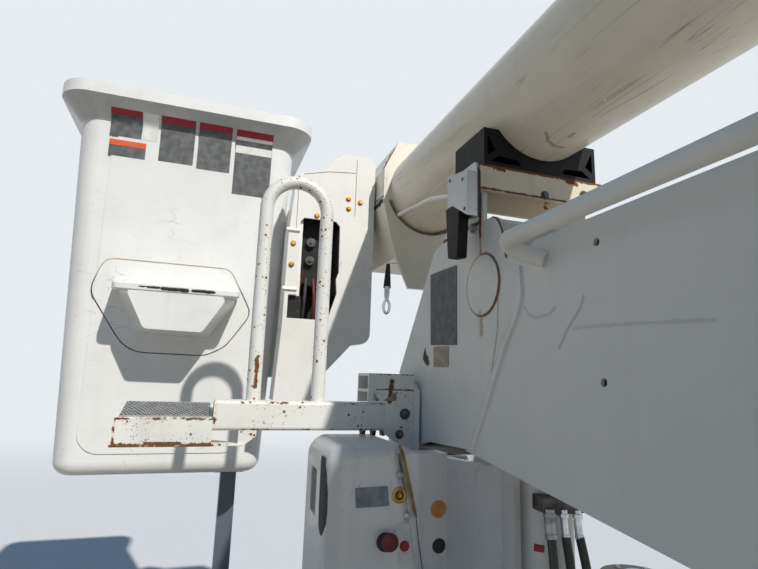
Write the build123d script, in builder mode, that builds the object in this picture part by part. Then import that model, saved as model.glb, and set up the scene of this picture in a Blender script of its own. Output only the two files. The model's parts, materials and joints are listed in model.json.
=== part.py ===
from build123d import *
import math
import os

# An articulated aerial lift for a truck: a two-boom machine with a one-person bucket.
# X runs forward along the booms, Y to the left and Z up. The origin is on the slew axis,
# on the underside of the mounting frame. Lengths are in millimetres.

os.makedirs("parts", exist_ok=True)

# Mounting frame, which bolts down on the truck's chassis rails
frame_rear = -1300
frame_front = 1500
rail_height = 150
rail_width = 75
rail_wall = 9
rail_outside = 432
cross_width = 70
cross_wall = 8
cross_places = (-1215, -350, 350, 1415)
bolt_spacing_x = 2000
bolt_inset = 38
bolt_radius = 9

# Pedestal and slewing ring
pedestal_plate = 25
pedestal_plate_x = 760
pedestal_foot = 500
pedestal_head = 430
pedestal_wall = 12
pedestal_corner = 40
pedestal_top = 560
pedestal_flange = 20
pedestal_flange_radius = 265
hatch_radius = 75
hatch_height = 350
gear_height = 45
gear_root_radius = 268
gear_tooth_depth = 12
gear_teeth = 72
bearing_bore = 205
bearing_gap = 0.5
race_height = 24
race_radius = 255

# Turret
turntable_radius = 330
drive_radius = 78
drive_height = 66
motor_length = 130
drive_flange = 17
motor_flange_sink = 10
motor_flange_depth = 24
turntable_thickness = 25
turret_half_width = 200
turret_front = -60
turret_nose_half_width = 125
turret_nose_length = 50
turret_rear_low = -190
turret_rear_high = -345
turret_slope_height = 205
turret_wall = 10
turret_height = 310
turret_corner = 45
turret_slot_rear = -135
turret_slot_half_width = 74

# Lower boom: hinge at the rear of the turret, elbow pin at the front
pivot_x = -240
pivot_z = 1085
pivot_radius = 30
pivot_boss_radius = 42
running_gap = 0.05
root_radius = 95
root_outside = 130
root_plate = 10
cheek_gap = 6
cheek_plate = 14
cheek_front = -168
cheek_rear = -338
cheek_crown = 60
panel_plate = 6
boom_plate = 6
bead_width = 17
bead_height = 4
panel_holes = ((438, 1347), (440, 1157), (760, 1290), (1100, 1180))
panel_hole_radius = 6
boom_top = 1385
boom_belly_x = 900
boom_belly_z = 930
boom_neck_x = 3260
boom_neck_z = 1200
root_front = 420
root_rear_x = -322
root_rear_z = 1176
root_top = 1468
post_top = 1530
post_rear = -10
post_front = 121

# Lift cylinder of the lower boom
cylinder_foot_x = 110
cylinder_foot_z = 720
cylinder_eye_x = 120
cylinder_eye_z = 1340
barrel_radius = 55
barrel_length = 480
barrel_start = 56
rod_radius = 30
eye_radius = 45
eye_half_width = 35
cylinder_pin_radius = 22
lug_plate = 20
lug_radius = 45
lug_foot_half = 60
lug_head_half = 40
lug_gap = 2
boss_radius = 61
boss_height = 3

# Elbow
elbow_x = 3450
elbow_low_z = 1290
elbow_high_z = 1560
elbow_pin_radius = 32
elbow_plate = 20
elbow_half_width = 70
elbow_radius = 70
ear_gap = 5
ear_plate = 20

# Upper boom
boom_axis_z = 1741
boom_radius = 128
boom_bore = 116
boom_rear = -640
boom_front = 3180
rest_clearance = 0.3

# Saddle that the upper boom lies in
saddle_rear = 12
saddle_front = 138
saddle_half_width = 136
saddle_bottom = 1583
saddle_top = 1662
saddle_pocket = 34
saddle_pockets = (
    ((128, 1650), (128, 1604), (110, 1616)),
    ((122, 1591), (102, 1606), (56, 1602), (50, 1591)),
)
bracket_half_width = 151
bracket_wall = 8

# Rail along the lower boom
rail_radius = 13.5
rail_reach = 56
rail_z = 1378
rail_rear = 263
rail_hook = 62
rail_drop = 32
rail_bend = 22
rail_cut = 200
rail_front = 2900

# Bucket
bucket_x = -965
bucket_y = -722
bucket_bottom = 863
bucket_height = 1126
bucket_foot = 566
bucket_mouth = 644
bucket_rim = 755
bucket_rim_height = 36
bucket_flare = 60
bucket_wall = 8
bucket_corner = 60
bucket_rim_corner = 85
bucket_fillet = 40
hollow_chamfer = 24
panel_relief = 3
panel_margin = 22
panel_corner = 60
pocket_depth = 140
pocket_seam = 3

# Bucket rest on the frame
post_x = -900
post_y = -518
post_width = 50
outrigger_width = 100
outrigger_overhang = 45
post_wall = 4
pad_width = 90
pad_height = 20

# Step beside the turret
arm_size = 63
arm_wall = 5
arm_front = -178
arm_bottom = 1036
arm_outer_end = -602
tread_outer_end = -789
tread_depth = 112
handle_radius = 16
handle_y = (-520, -374)
handle_top = 1635
tread_plate = 6
tread_lip = 40
tread_bottom = 1004
tread_front_rise = 25
tread_rear_rise = 51


def side_slab(points, y_from, y_to, mode=Mode.ADD):
    """A closed outline in X and Z, made solid between two values of Y."""
    with BuildSketch(Plane.XZ.offset(-y_to)) as outline:
        with BuildLine():
            Polyline(*points, close=True)
        make_face()
    extrude(outline.sketch, amount=y_to - y_from, mode=mode)


def cross_disc(x, z, radius, y_from, y_to, mode=Mode.ADD):
    """A round solid along Y, such as a pin, an eye or a bore."""
    with BuildSketch(Plane.XZ.offset(-y_to)) as outline:
        with Locations((x, z)):
            Circle(radius)
    extrude(outline.sketch, amount=y_to - y_from, mode=mode)


def save(builder, name):
    """Names a finished piece and writes its file."""
    builder.part.label = name
    export_step(builder.part, "parts/" + name + ".step")


# Mounting frame: two channel rails, cross members and the outrigger of the bucket's post
rail_inside = rail_outside - rail_wall
with BuildPart() as mounting_frame:
    for side in (-1, 1):
        with BuildSketch(Plane.YZ.offset(frame_rear)) as rail_section:
            with Locations((side * (rail_outside - rail_width / 2), rail_height / 2)):
                Rectangle(rail_width, rail_height)
            with Locations((side * (rail_outside - rail_width / 2 - rail_wall), rail_height / 2)):
                Rectangle(rail_width, rail_height - 2 * rail_wall, mode=Mode.SUBTRACT)
        extrude(rail_section.sketch, amount=frame_front - frame_rear)
    for place in cross_places:
        with BuildSketch(Plane.XZ.offset(-rail_inside)) as cross_section:
            with Locations((place, rail_height / 2)):
                Rectangle(cross_width, rail_height - 2 * rail_wall)
            with Locations((place + cross_wall, rail_height / 2)):
                Rectangle(cross_width, rail_height - 2 * rail_wall - 2 * cross_wall, mode=Mode.SUBTRACT)
        extrude(cross_section.sketch, amount=2 * rail_inside)
    outrigger_end = post_y - post_width / 2 - outrigger_overhang
    with BuildSketch(Plane.XZ.offset(rail_outside)) as outrigger_section:
        with Locations((post_x, rail_height / 2)):
            Rectangle(outrigger_width, rail_height)
            Rectangle(outrigger_width - 2 * cross_wall, rail_height - 2 * cross_wall, mode=Mode.SUBTRACT)
    extrude(outrigger_section.sketch, amount=-outrigger_end - rail_outside)
    with BuildSketch() as bolts:
        with GridLocations(bolt_spacing_x, 2 * (rail_outside - bolt_inset), 2, 2):
            Circle(bolt_radius)
    extrude(bolts.sketch, amount=rail_wall, mode=Mode.SUBTRACT)
save(mounting_frame, "mounting_frame")

# Bucket rest: a square post with a rubber pad on its head
post_length = bucket_bottom - rest_clearance - pad_height - rail_height
with BuildPart() as bucket_rest_post:
    with BuildSketch(Plane.XY.offset(rail_height)) as post_section:
        with Locations((post_x, post_y)):
            Rectangle(post_width, post_width)
            Rectangle(post_width - 2 * post_wall, post_width - 2 * post_wall, mode=Mode.SUBTRACT)
    extrude(post_section.sketch, amount=post_length)
    with BuildSketch(Plane.XY.offset(rail_height)) as post_plates:
        with Locations((post_x, post_y)):
            Rectangle(pad_width, pad_width)
    extrude(post_plates.sketch, amount=post_wall)
    with BuildSketch(Plane.XY.offset(rail_height + post_length - post_wall)) as post_head:
        with Locations((post_x, post_y)):
            Rectangle(pad_width, pad_width)
    extrude(post_head.sketch, amount=post_wall)
save(bucket_rest_post, "bucket_rest_post")

with BuildPart() as bucket_rest_pad:
    with BuildSketch(Plane.XY.offset(rail_height + post_length)) as pad_section:
        with Locations((post_x, post_y)):
            RectangleRounded(pad_width, pad_width, 8)
    extrude(pad_section.sketch, amount=pad_height)
save(bucket_rest_pad, "bucket_rest_pad")

# Pedestal: a tapered box column with a hatch at its rear
column_bottom = rail_height + pedestal_plate
with BuildPart() as pedestal:
    with BuildSketch(Plane.XY.offset(rail_height)):
        Rectangle(pedestal_plate_x, 2 * rail_outside)
    extrude(amount=pedestal_plate)
    with BuildSketch(Plane.XY.offset(column_bottom)) as foot:
        RectangleRounded(pedestal_foot, pedestal_foot, pedestal_corner)
    with BuildSketch(Plane.XY.offset(pedestal_top)) as head:
        RectangleRounded(pedestal_head, pedestal_head, pedestal_corner)
    loft([foot.sketch, head.sketch])
    with BuildSketch(Plane.XY.offset(pedestal_top)):
        Circle(pedestal_flange_radius)
    extrude(amount=pedestal_flange)
    inner_foot = pedestal_foot - 2 * pedestal_wall
    inner_head = pedestal_head - 2 * pedestal_wall
    with BuildSketch(Plane.XY.offset(column_bottom)) as foot_hollow:
        RectangleRounded(inner_foot, inner_foot, pedestal_corner - pedestal_wall)
    with BuildSketch(Plane.XY.offset(pedestal_top)) as head_hollow:
        RectangleRounded(inner_head, inner_head, pedestal_corner - pedestal_wall)
    loft([foot_hollow.sketch, head_hollow.sketch], mode=Mode.SUBTRACT)
    with BuildSketch(Plane.YZ.offset(-pedestal_foot)) as hatch:
        with Locations((0, hatch_height)):
            Circle(hatch_radius)
    extrude(hatch.sketch, amount=pedestal_foot, mode=Mode.SUBTRACT)
save(pedestal, "pedestal")

# Slew gear: a toothed ring bolted to the pedestal
gear_bottom = pedestal_top + pedestal_flange
with BuildPart() as slew_gear:
    with BuildSketch(Plane.XY.offset(gear_bottom)) as gear_section:
        Circle(gear_root_radius)
        with PolarLocations(gear_root_radius + gear_tooth_depth / 2 - 1, gear_teeth):
            Rectangle(gear_tooth_depth + 2, 11)
        Circle(bearing_bore, mode=Mode.SUBTRACT)
    extrude(gear_section.sketch, amount=gear_height)
save(slew_gear, "slew_gear")

# Slew race: the turning ring on the gear
race_bottom = gear_bottom + gear_height + bearing_gap
turntable_bottom = race_bottom + race_height
with BuildPart() as slew_race:
    with BuildSketch(Plane.XY.offset(race_bottom)):
        Circle(race_radius)
        Circle(bearing_bore, mode=Mode.SUBTRACT)
    extrude(amount=race_height)
save(slew_race, "slew_race")

# Turntable with the lugs of the lift cylinder
turntable_top = turntable_bottom + turntable_thickness
drive_y = gear_root_radius + gear_tooth_depth + 45
lug_inside = eye_half_width + lug_gap
with BuildPart() as turntable:
    with BuildSketch(Plane.XY.offset(turntable_bottom)):
        Circle(turntable_radius)
        with Locations((0, drive_y)):
            Circle(drive_radius + drive_flange)
    extrude(amount=turntable_thickness)
    for near in (-lug_inside - lug_plate, lug_inside):
        lug_outline = [
            (cylinder_foot_x - lug_foot_half, turntable_top),
            (cylinder_foot_x + lug_foot_half, turntable_top),
            (cylinder_foot_x + lug_head_half, cylinder_foot_z + lug_head_half / 2),
            (cylinder_foot_x - lug_head_half, cylinder_foot_z + lug_head_half / 2),
        ]
        side_slab(lug_outline, near, near + lug_plate)
        cross_disc(cylinder_foot_x, cylinder_foot_z, lug_radius, near, near + lug_plate)
    bore = cylinder_pin_radius + running_gap
    cross_disc(cylinder_foot_x, cylinder_foot_z, bore, -100, 100, mode=Mode.SUBTRACT)
save(turntable, "turntable")

with BuildPart() as cylinder_foot_pin:
    cross_disc(cylinder_foot_x, cylinder_foot_z, cylinder_pin_radius, -lug_inside - lug_plate - 6, lug_inside + lug_plate + 6)
save(cylinder_foot_pin, "cylinder_foot_pin")

# Turret: a hollow column that leans back at its top, open at its front for the cylinder
turret_top = turntable_top + turret_height
nose_rear = turret_front - turret_nose_length
with BuildPart() as turret:
    turret_outline = [
        (turret_rear_low, turntable_top),
        (turret_front, turntable_top),
        (turret_front, turret_top),
        (turret_rear_high, turret_top),
        (turret_rear_high, turntable_top + turret_slope_height),
    ]
    side_slab(turret_outline, -turret_half_width, turret_half_width)
    rear_edges = turret.edges().filter_by(Axis.Z).group_by(Axis.X)[0]
    fillet(rear_edges, turret_corner)
    with BuildSketch(Plane.XY.offset(turntable_top)) as corners:
        for side in (-1, 1):
            with BuildLine():
                Polyline(
                    (nose_rear, side * turret_half_width),
                    (turret_front, side * turret_nose_half_width),
                    (turret_front, side * turret_half_width),
                    close=True,
                )
            make_face()
    extrude(corners.sketch, amount=turret_height, mode=Mode.SUBTRACT)
    with BuildSketch(Plane.XY.offset(turntable_top)) as slot:
        with Locations(((turret_slot_rear + turret_front) / 2, 0)):
            Rectangle(turret_front - turret_slot_rear, 2 * turret_slot_half_width)
    extrude(slot.sketch, amount=turret_height, mode=Mode.SUBTRACT)
    hollow_outline = [
        (turret_rear_low + turret_wall, turntable_top),
        (turret_slot_rear - turret_wall, turntable_top),
        (turret_slot_rear - turret_wall, turret_top - turret_wall),
        (turret_rear_high + turret_wall, turret_top - turret_wall),
        (turret_rear_high + turret_wall, turntable_top + turret_slope_height + 6),
    ]
    hollow_half = turret_half_width - turret_corner
    side_slab(hollow_outline, -hollow_half, hollow_half, mode=Mode.SUBTRACT)
save(turret, "turret")

# Pivot cheeks: the turret's two upright plates that hold the boom's hinge pin
cheek_inside = root_outside + cheek_gap
cheek_outside = cheek_inside + cheek_plate
for side, side_name in ((-1, "right"), (1, "left")):
    near = min(side * cheek_inside, side * cheek_outside)
    far = max(side * cheek_inside, side * cheek_outside)
    with BuildPart() as pivot_cheek:
        cheek_outline = [
            (cheek_rear, turret_top),
            (cheek_front, turret_top),
            (cheek_front, pivot_z + cheek_crown - 16),
            (cheek_front - 22, pivot_z + cheek_crown),
            (cheek_rear + 48, pivot_z + cheek_crown),
            (cheek_rear, pivot_z),
        ]
        side_slab(cheek_outline, near, far)
        cross_disc(pivot_x, pivot_z, pivot_radius + running_gap, near, far, mode=Mode.SUBTRACT)
    save(pivot_cheek, "pivot_cheek_" + side_name)

with BuildPart() as boom_pivot_pin:
    cross_disc(pivot_x, pivot_z, pivot_radius, -cheek_outside, cheek_outside)
save(boom_pivot_pin, "boom_pivot_pin")

# Slew drive: a flat gearbox over the ring's teeth, with its motor lying beside it
with BuildPart() as slew_drive:
    with BuildSketch(Plane.XY.offset(turntable_top)) as gearbox:
        with Locations((0, drive_y)):
            Circle(drive_radius)
    extrude(gearbox.sketch, amount=drive_height)
    with BuildSketch(Plane.YZ.offset(drive_radius - motor_flange_sink)) as motor_flange:
        with Locations((drive_y, turntable_top + drive_height / 2)):
            Rectangle(drive_height + drive_flange, drive_height - 4)
    extrude(motor_flange.sketch, amount=motor_flange_depth)
    with BuildSketch(Plane.YZ.offset(drive_radius)) as motor:
        with Locations((drive_y, turntable_top + drive_height / 2)):
            Circle(drive_height / 2 - 4)
    extrude(motor.sketch, amount=motor_length)
save(slew_drive, "slew_drive")

# Lower control cover: a moulded box, with the turret's flat side panel beside it
cover_outer = -391
cover_front = 0
cover_rear = -200
cover_bottom = 700
cover_top = 1027
cover_corner = 42
cover_edge = 26
seam_top_y = -249
seam_low_y = -195
seam_low_z = 795
side_panel_recess = 8
side_panel_top = 1008
side_panel_end = -141
shield_front = 141
shield_y = -80
shield_plate = 12
with BuildPart() as control_cover:
    cover_face = [
        (cover_outer, cover_bottom),
        (seam_low_y + 22, cover_bottom),
        (seam_low_y, seam_low_z),
        (seam_top_y, cover_top),
        (cover_outer, cover_top),
    ]
    with BuildSketch(Plane.YZ.offset(cover_rear)) as cover_outline:
        with BuildLine():
            Polyline(*cover_face, close=True)
        make_face()
    extrude(cover_outline.sketch, amount=cover_front - cover_rear)
    outer_edges = control_cover.edges().filter_by(Axis.X).group_by(Axis.Y)[0]
    fillet(outer_edges, cover_corner)
    fillet(control_cover.faces().sort_by(Axis.X)[-1].edges(), cover_edge)
    with BuildSketch(Plane.YZ.offset(turret_front)) as panel_face:
        with BuildLine():
            Polyline(
                (seam_low_y, cover_bottom),
                (side_panel_end, cover_bottom),
                (side_panel_end, side_panel_top),
                (seam_top_y + 8, side_panel_top),
                close=True,
            )
        make_face()
    extrude(panel_face.sketch, amount=cover_front - side_panel_recess - turret_front)
    beside_turret = [(cover_rear, cover_bottom), (turret_front, cover_bottom), (turret_front, cover_top), (cover_rear, cover_top)]
    side_slab(beside_turret, -turret_half_width, 0, mode=Mode.SUBTRACT)
    with BuildSketch(Plane.XY.offset(cover_bottom)) as shield_section:
        with BuildLine():
            Polyline(
                (cover_front - side_panel_recess, side_panel_end),
                (shield_front - 30, shield_y - 8),
                (shield_front, shield_y),
                (shield_front, shield_y + shield_plate),
                (shield_front - 30, shield_y + shield_plate - 6),
                (cover_front - side_panel_recess - 30, side_panel_end + shield_plate),
                (cover_front - side_panel_recess - 30, side_panel_end),
                close=True,
            )
        make_face()
    extrude(shield_section.sketch, amount=side_panel_top - 10 - cover_bottom)
    slot_outline = [(-66, 868), (-34, 855), (-34, 992), (-66, 1000)]
    side_slab(slot_outline, cover_outer, cover_outer + 16, mode=Mode.SUBTRACT)
    window_outline = [(-155, 880), (-100, 876), (-100, 966), (-155, 968)]
    side_slab(window_outline, cover_outer, cover_outer + 4, mode=Mode.SUBTRACT)
save(control_cover, "control_cover")

# Step: an arm of square tube, a tread box at its end and a hooped handle
arm_centre_x = arm_front - arm_size / 2
arm_centre_z = arm_bottom + arm_size / 2
with BuildPart() as step_arm:
    with BuildSketch(Plane.XZ.offset(cheek_outside)) as arm_section:
        with Locations((arm_centre_x, arm_centre_z)):
            RectangleRounded(arm_size, arm_size, 8)
            RectangleRounded(arm_size - 2 * arm_wall, arm_size - 2 * arm_wall, 4, mode=Mode.SUBTRACT)
    extrude(arm_section.sketch, amount=-arm_outer_end - cheek_outside)
save(step_arm, "step_arm")

with BuildPart() as step_tread:
    tread_rear = arm_front - tread_depth
    tread_high = arm_bottom + tread_rear_rise
    tread_low = arm_bottom + tread_front_rise
    tread_outline = [
        (arm_front, tread_bottom),
        (arm_front, tread_low),
        (tread_rear, tread_high),
        (tread_rear, tread_high - tread_plate),
        (arm_front - tread_plate, tread_low - tread_plate),
        (arm_front - tread_plate, tread_bottom + tread_plate),
        (arm_front - tread_lip, tread_bottom + tread_plate),
        (arm_front - tread_lip, tread_bottom),
    ]
    side_slab(tread_outline, tread_outer_end, arm_outer_end)
    tread_end = [
        (arm_front, tread_bottom),
        (arm_front, tread_low),
        (tread_rear, tread_high),
        (tread_rear, tread_high - tread_rear_rise / 2),
        (arm_front - tread_lip, tread_bottom),
    ]
    for near in (tread_outer_end - tread_plate, arm_outer_end - tread_plate):
        side_slab(tread_end, near, near + tread_plate)
save(step_tread, "step_tread")

handle_x = arm_centre_x
handle_mid = sum(handle_y) / 2
handle_bend = (handle_y[1] - handle_y[0]) / 2
handle_foot = arm_bottom + arm_size
with BuildPart() as grab_handle:
    with BuildLine(Plane.YZ.offset(handle_x)) as hoop:
        spring_z = handle_top - handle_radius - handle_bend
        Line((handle_y[0], handle_foot), (handle_y[0], spring_z))
        ThreePointArc((handle_y[0], spring_z), (handle_mid, spring_z + handle_bend), (handle_y[1], spring_z))
        Line((handle_y[1], spring_z), (handle_y[1], handle_foot))
    with BuildSketch(Plane((handle_x, handle_y[0], handle_foot), z_dir=(0, 0, 1))) as hoop_section:
        Circle(handle_radius)
    sweep(hoop_section.sketch, path=hoop.line)
save(grab_handle, "grab_handle")

# Step bracket: two folded channels on the arm and a clipped plate over its inner end
bracket_front = -174
bracket_rear = -262
bracket_reach = 113
strut_gaps = ((-192, -226), (-250, -232))
tier_low = arm_bottom + arm_size
tier_mid = 1130
tier_high = 1167
fold = 6
with BuildPart() as step_bracket:
    for bottom, top in ((tier_low, tier_mid), (tier_mid, tier_high)):
        channel = [
            (bracket_rear, bottom),
            (bracket_rear + fold, bottom),
            (bracket_rear + fold, top - fold),
            (bracket_front - fold, top - fold),
            (bracket_front - fold, bottom),
            (bracket_front, bottom),
            (bracket_front, top),
            (bracket_rear, top),
        ]
        side_slab(channel, -cheek_outside - bracket_reach, -cheek_outside)
    for left, right in strut_gaps:
        with BuildSketch(Plane.YZ.offset(bracket_front - fold)) as strut_gap:
            with BuildLine():
                Polyline(
                    (left, tier_low + 5),
                    (right, tier_low + 5),
                    (left, tier_mid - 3),
                    close=True,
                )
            make_face()
        extrude(strut_gap.sketch, amount=fold, mode=Mode.SUBTRACT)
    with BuildSketch(Plane.YZ.offset(arm_front)) as clipped_plate:
        with BuildLine():
            Polyline(
                (-cheek_outside - 71, arm_bottom - 6),
                (-cheek_outside - 71, tier_low),
                (-cheek_outside, tier_low),
                (-cheek_outside, turret_top + 8),
                (-cheek_outside - 34, turret_top + 20),
                close=True,
            )
        make_face()
    extrude(clipped_plate.sketch, amount=fold)
save(step_bracket, "step_bracket")

# Root of the lower boom: two side plates around the hinge tube, with the saddle's posts
with BuildPart() as boom_root:
    root_outline = [
        (pivot_x, pivot_z - root_radius),
        (-132, 1017),
        (56, 1024),
        (root_front, 1003),
        (root_front, boom_top - boom_plate - 2),
        (post_front + 82, boom_top - boom_plate - 2),
        (post_front + 74, root_top - 52),
        (post_front + 68, root_top - 31),
        (post_front + 55, root_top - 10),
        (post_front + 38, root_top),
        (post_front, root_top),
        (post_front, post_top),
        (post_rear, post_top),
        (-60, root_top),
        (-108, 1457),
        (root_rear_x, root_rear_z),
        (pivot_x - root_radius, pivot_z),
    ]
    root_inside = root_outside - root_plate
    for near in (-root_outside, root_inside):
        side_slab(root_outline, near, near + root_plate)
        cross_disc(pivot_x, pivot_z, root_radius, near, near + root_plate)
    cross_disc(pivot_x, pivot_z, pivot_boss_radius, -root_outside, root_outside)
    front_web = [
        (root_front - boom_plate, 1003),
        (root_front, 1003),
        (root_front, boom_top - boom_plate - 2),
        (root_front - boom_plate, boom_top - boom_plate - 2),
    ]
    side_slab(front_web, -root_outside, root_outside)
    web_front = post_front + 30
    top_web = [(-60, root_top - boom_plate), (web_front, root_top - boom_plate), (web_front, root_top), (-60, root_top)]
    side_slab(top_web, -root_outside, root_outside)
    for near in (-root_outside - boss_height, root_outside):
        cross_disc(cylinder_eye_x, cylinder_eye_z, boss_radius, near, near + boss_height)
    cross_disc(pivot_x, pivot_z, pivot_radius + running_gap, -root_outside, root_outside, mode=Mode.SUBTRACT)
save(boom_root, "boom_root")

# Lower boom: a deep-bellied box of plates that overlaps the root
panel_outside = root_outside + panel_plate
with BuildPart() as lower_boom:
    with BuildSketch(Plane.XZ.offset(-panel_outside)) as boom_side:
        with BuildLine():
            Polyline(
                (238, 1352),
                (300, boom_top),
                (boom_neck_x, boom_top),
                (boom_neck_x, boom_neck_z),
                (boom_belly_x, boom_belly_z),
                (56, 1023),
                (80, 1026),
                (195, 1218),
            )
            ThreePointArc((195, 1218), (247, 1296), (238, 1352))
        make_face()
    extrude(boom_side.sketch, amount=2 * panel_outside)
    hollow = [
        (root_front + 10, boom_top - boom_plate),
        (boom_neck_x - boom_plate, boom_top - boom_plate),
        (boom_neck_x - boom_plate, boom_neck_z + boom_plate),
        (boom_belly_x, boom_belly_z + boom_plate),
        (root_front + 10, 995),
    ]
    side_slab(hollow, -root_outside, root_outside, mode=Mode.SUBTRACT)
    open_end = [(0, 900), (root_front + 10, 900), (root_front + 10, boom_top + 20), (0, boom_top + 20)]
    side_slab(open_end, -root_outside, root_outside, mode=Mode.SUBTRACT)
    bead_line = [(80, 1027), (144, 1133), (195, 1218), (230, 1262), (246, 1300), (240, 1350)]
    bead_outline = bead_line + [(x + bead_width, z) for x, z in reversed(bead_line)]
    for near in (-panel_outside - bead_height, panel_outside):
        side_slab(bead_outline, near, near + bead_height)
    for x, z in panel_holes:
        cross_disc(x, z, panel_hole_radius, -panel_outside, panel_outside, mode=Mode.SUBTRACT)
save(lower_boom, "lower_boom")

# Elbow fork on the lower boom's end
ear_inside = elbow_half_width + ear_gap
ear_outside = ear_inside + ear_plate
with BuildPart() as lower_boom_fork:
    fork_outline = [
        (boom_neck_x, boom_neck_z + 10),
        (elbow_x, elbow_low_z - elbow_radius),
        (elbow_x, elbow_low_z + elbow_radius),
        (boom_neck_x, boom_top - 10),
    ]
    for near in (-ear_outside, ear_inside):
        side_slab(fork_outline, near, near + ear_plate)
        cross_disc(elbow_x, elbow_low_z, elbow_radius, near, near + ear_plate)
    fork_base = [
        (boom_neck_x, boom_neck_z + 10),
        (boom_neck_x + 20, boom_neck_z + 10),
        (boom_neck_x + 20, boom_top - 10),
        (boom_neck_x, boom_top - 10),
    ]
    side_slab(fork_base, -ear_outside, ear_outside)
    cross_disc(elbow_x, elbow_low_z, elbow_pin_radius + running_gap, -ear_outside, ear_outside, mode=Mode.SUBTRACT)
save(lower_boom_fork, "lower_boom_fork")

# Tube rails along both sides of the lower boom
for side, side_name in ((-1, "right"), (1, "left")):
    rail_out = side * (panel_outside + rail_reach)
    rail_in = side * panel_outside
    with BuildPart() as tube_rail:
        with BuildLine() as rail_route:
            FilletPolyline(
                (rail_rear + rail_hook, rail_in, rail_z - rail_drop),
                (rail_rear, rail_out, rail_z),
                (rail_front, rail_out, rail_z),
                (rail_front - rail_hook, rail_in, rail_z - rail_drop),
                radius=rail_bend,
            )
        rail_start = rail_route.line @ 0
        rail_heading = rail_route.line % 0
        with BuildSketch(Plane(rail_start, z_dir=rail_heading)) as rail_section:
            Circle(rail_radius)
        sweep(rail_section.sketch, path=rail_route.line)
        with Locations((rail_rear, side * (panel_outside - rail_cut / 2), rail_z)):
            Box(2 * rail_front, rail_cut, rail_cut, mode=Mode.SUBTRACT)
    save(tube_rail, "tube_rail_" + side_name)

# Saddle bracket on the posts, and the moulded saddle
with BuildPart() as saddle_bracket:
    with BuildSketch(Plane.YZ.offset(saddle_rear - 6)) as bracket_face:
        with BuildLine():
            Polyline(
                (-bracket_half_width, post_top),
                (70, post_top),
                (bracket_half_width, saddle_bottom - bracket_wall),
                (bracket_half_width, saddle_bottom),
                (-bracket_half_width, saddle_bottom),
                close=True,
            )
        make_face()
    extrude(bracket_face.sketch, amount=saddle_front - saddle_rear + 6)
    with Locations(((saddle_rear + saddle_front) / 2 - 3, 0, saddle_bottom - bracket_wall - 50)):
        Box(saddle_front - saddle_rear + 6 - 2 * bracket_wall, 400, 100, mode=Mode.SUBTRACT)
save(saddle_bracket, "saddle_bracket")

with BuildPart() as boom_saddle:
    with BuildSketch(Plane.YZ.offset(saddle_rear)) as saddle_face:
        with Locations((0, (saddle_bottom + saddle_top) / 2)):
            Rectangle(2 * saddle_half_width, saddle_top - saddle_bottom)
        with Locations((0, boom_axis_z)):
            Circle(boom_radius + rest_clearance, mode=Mode.SUBTRACT)
    extrude(saddle_face.sketch, amount=saddle_front - saddle_rear)
    with BuildSketch(Plane.YZ.offset(saddle_front - saddle_pocket)) as pockets:
        for side in (-1, 1):
            for outline in saddle_pockets:
                with BuildLine():
                    Polyline(*[(side * y, z) for y, z in outline], close=True)
                make_face()
    extrude(pockets.sketch, amount=saddle_pocket, mode=Mode.SUBTRACT)
save(boom_saddle, "boom_saddle")

# Hold-down latch on the bracket's right side: a plate, a folded channel with its black
# handle, and the rod that reaches back to the boom tip
latch_y = -bracket_half_width
latch_plate_wall = 6
latch_sheet = 4
latch_reach = 30
latch_rear = 66
latch_front = 150
with BuildPart() as latch_plate:
    latch_inner = latch_y - latch_plate_wall
    latch_outer = latch_y - latch_reach
    latch_outline = [
        (latch_rear, 1500),
        (latch_rear, saddle_bottom),
        (saddle_front, saddle_bottom),
        (latch_front, 1560),
        (latch_front, 1467),
        (101, 1475),
    ]
    side_slab(latch_outline, latch_inner, latch_y)
    channel_outline = [
        (latch_rear, 1574),
        (latch_front, 1558),
        (latch_front, 1467),
        (88, 1504),
        (latch_rear, 1504),
    ]
    side_slab(channel_outline, latch_outer, latch_outer + latch_sheet)
    front_flange = [
        (latch_front - latch_sheet, 1470),
        (latch_front - latch_sheet, 1558),
        (latch_front, 1558),
        (latch_front, 1467),
    ]
    side_slab(front_flange, latch_outer, latch_inner)
save(latch_plate, "latch_plate")

with BuildPart() as latch_handle:
    handle_outline = [
        (58, 1504),
        (88, 1504),
        (117, 1486),
        (108, 1393),
        (70, 1397),
    ]
    side_slab(handle_outline, latch_outer, latch_outer + 22)
    fillet(latch_handle.edges().filter_by(Axis.Y), 4)
save(latch_handle, "latch_handle")

rod_wire = 6
rod_eye_x = 86
rod_eye_z = 1529
rod_eye_depth = 2 * rod_wire + 2
rod_y = latch_inner - rod_eye_depth / 2
with BuildPart() as hold_down_rod:
    cross_disc(rod_eye_x, rod_eye_z, 2 * rod_wire, latch_inner - rod_eye_depth, latch_inner)
    with BuildLine() as rod_route:
        FilletPolyline(
            (rod_eye_x, rod_y, rod_eye_z),
            (0, rod_y, 1553),
            (-62, rod_y + 4, 1571),
            (-360, -128, 1627),
            (-432, -101, 1652),
            radius=50,
        )
    rod_start = rod_route.line @ 0
    rod_heading = rod_route.line % 0
    with BuildSketch(Plane(rod_start, z_dir=rod_heading)) as rod_section:
        Circle(rod_wire)
    sweep(rod_section.sketch, path=rod_route.line)
save(hold_down_rod, "hold_down_rod")

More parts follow.
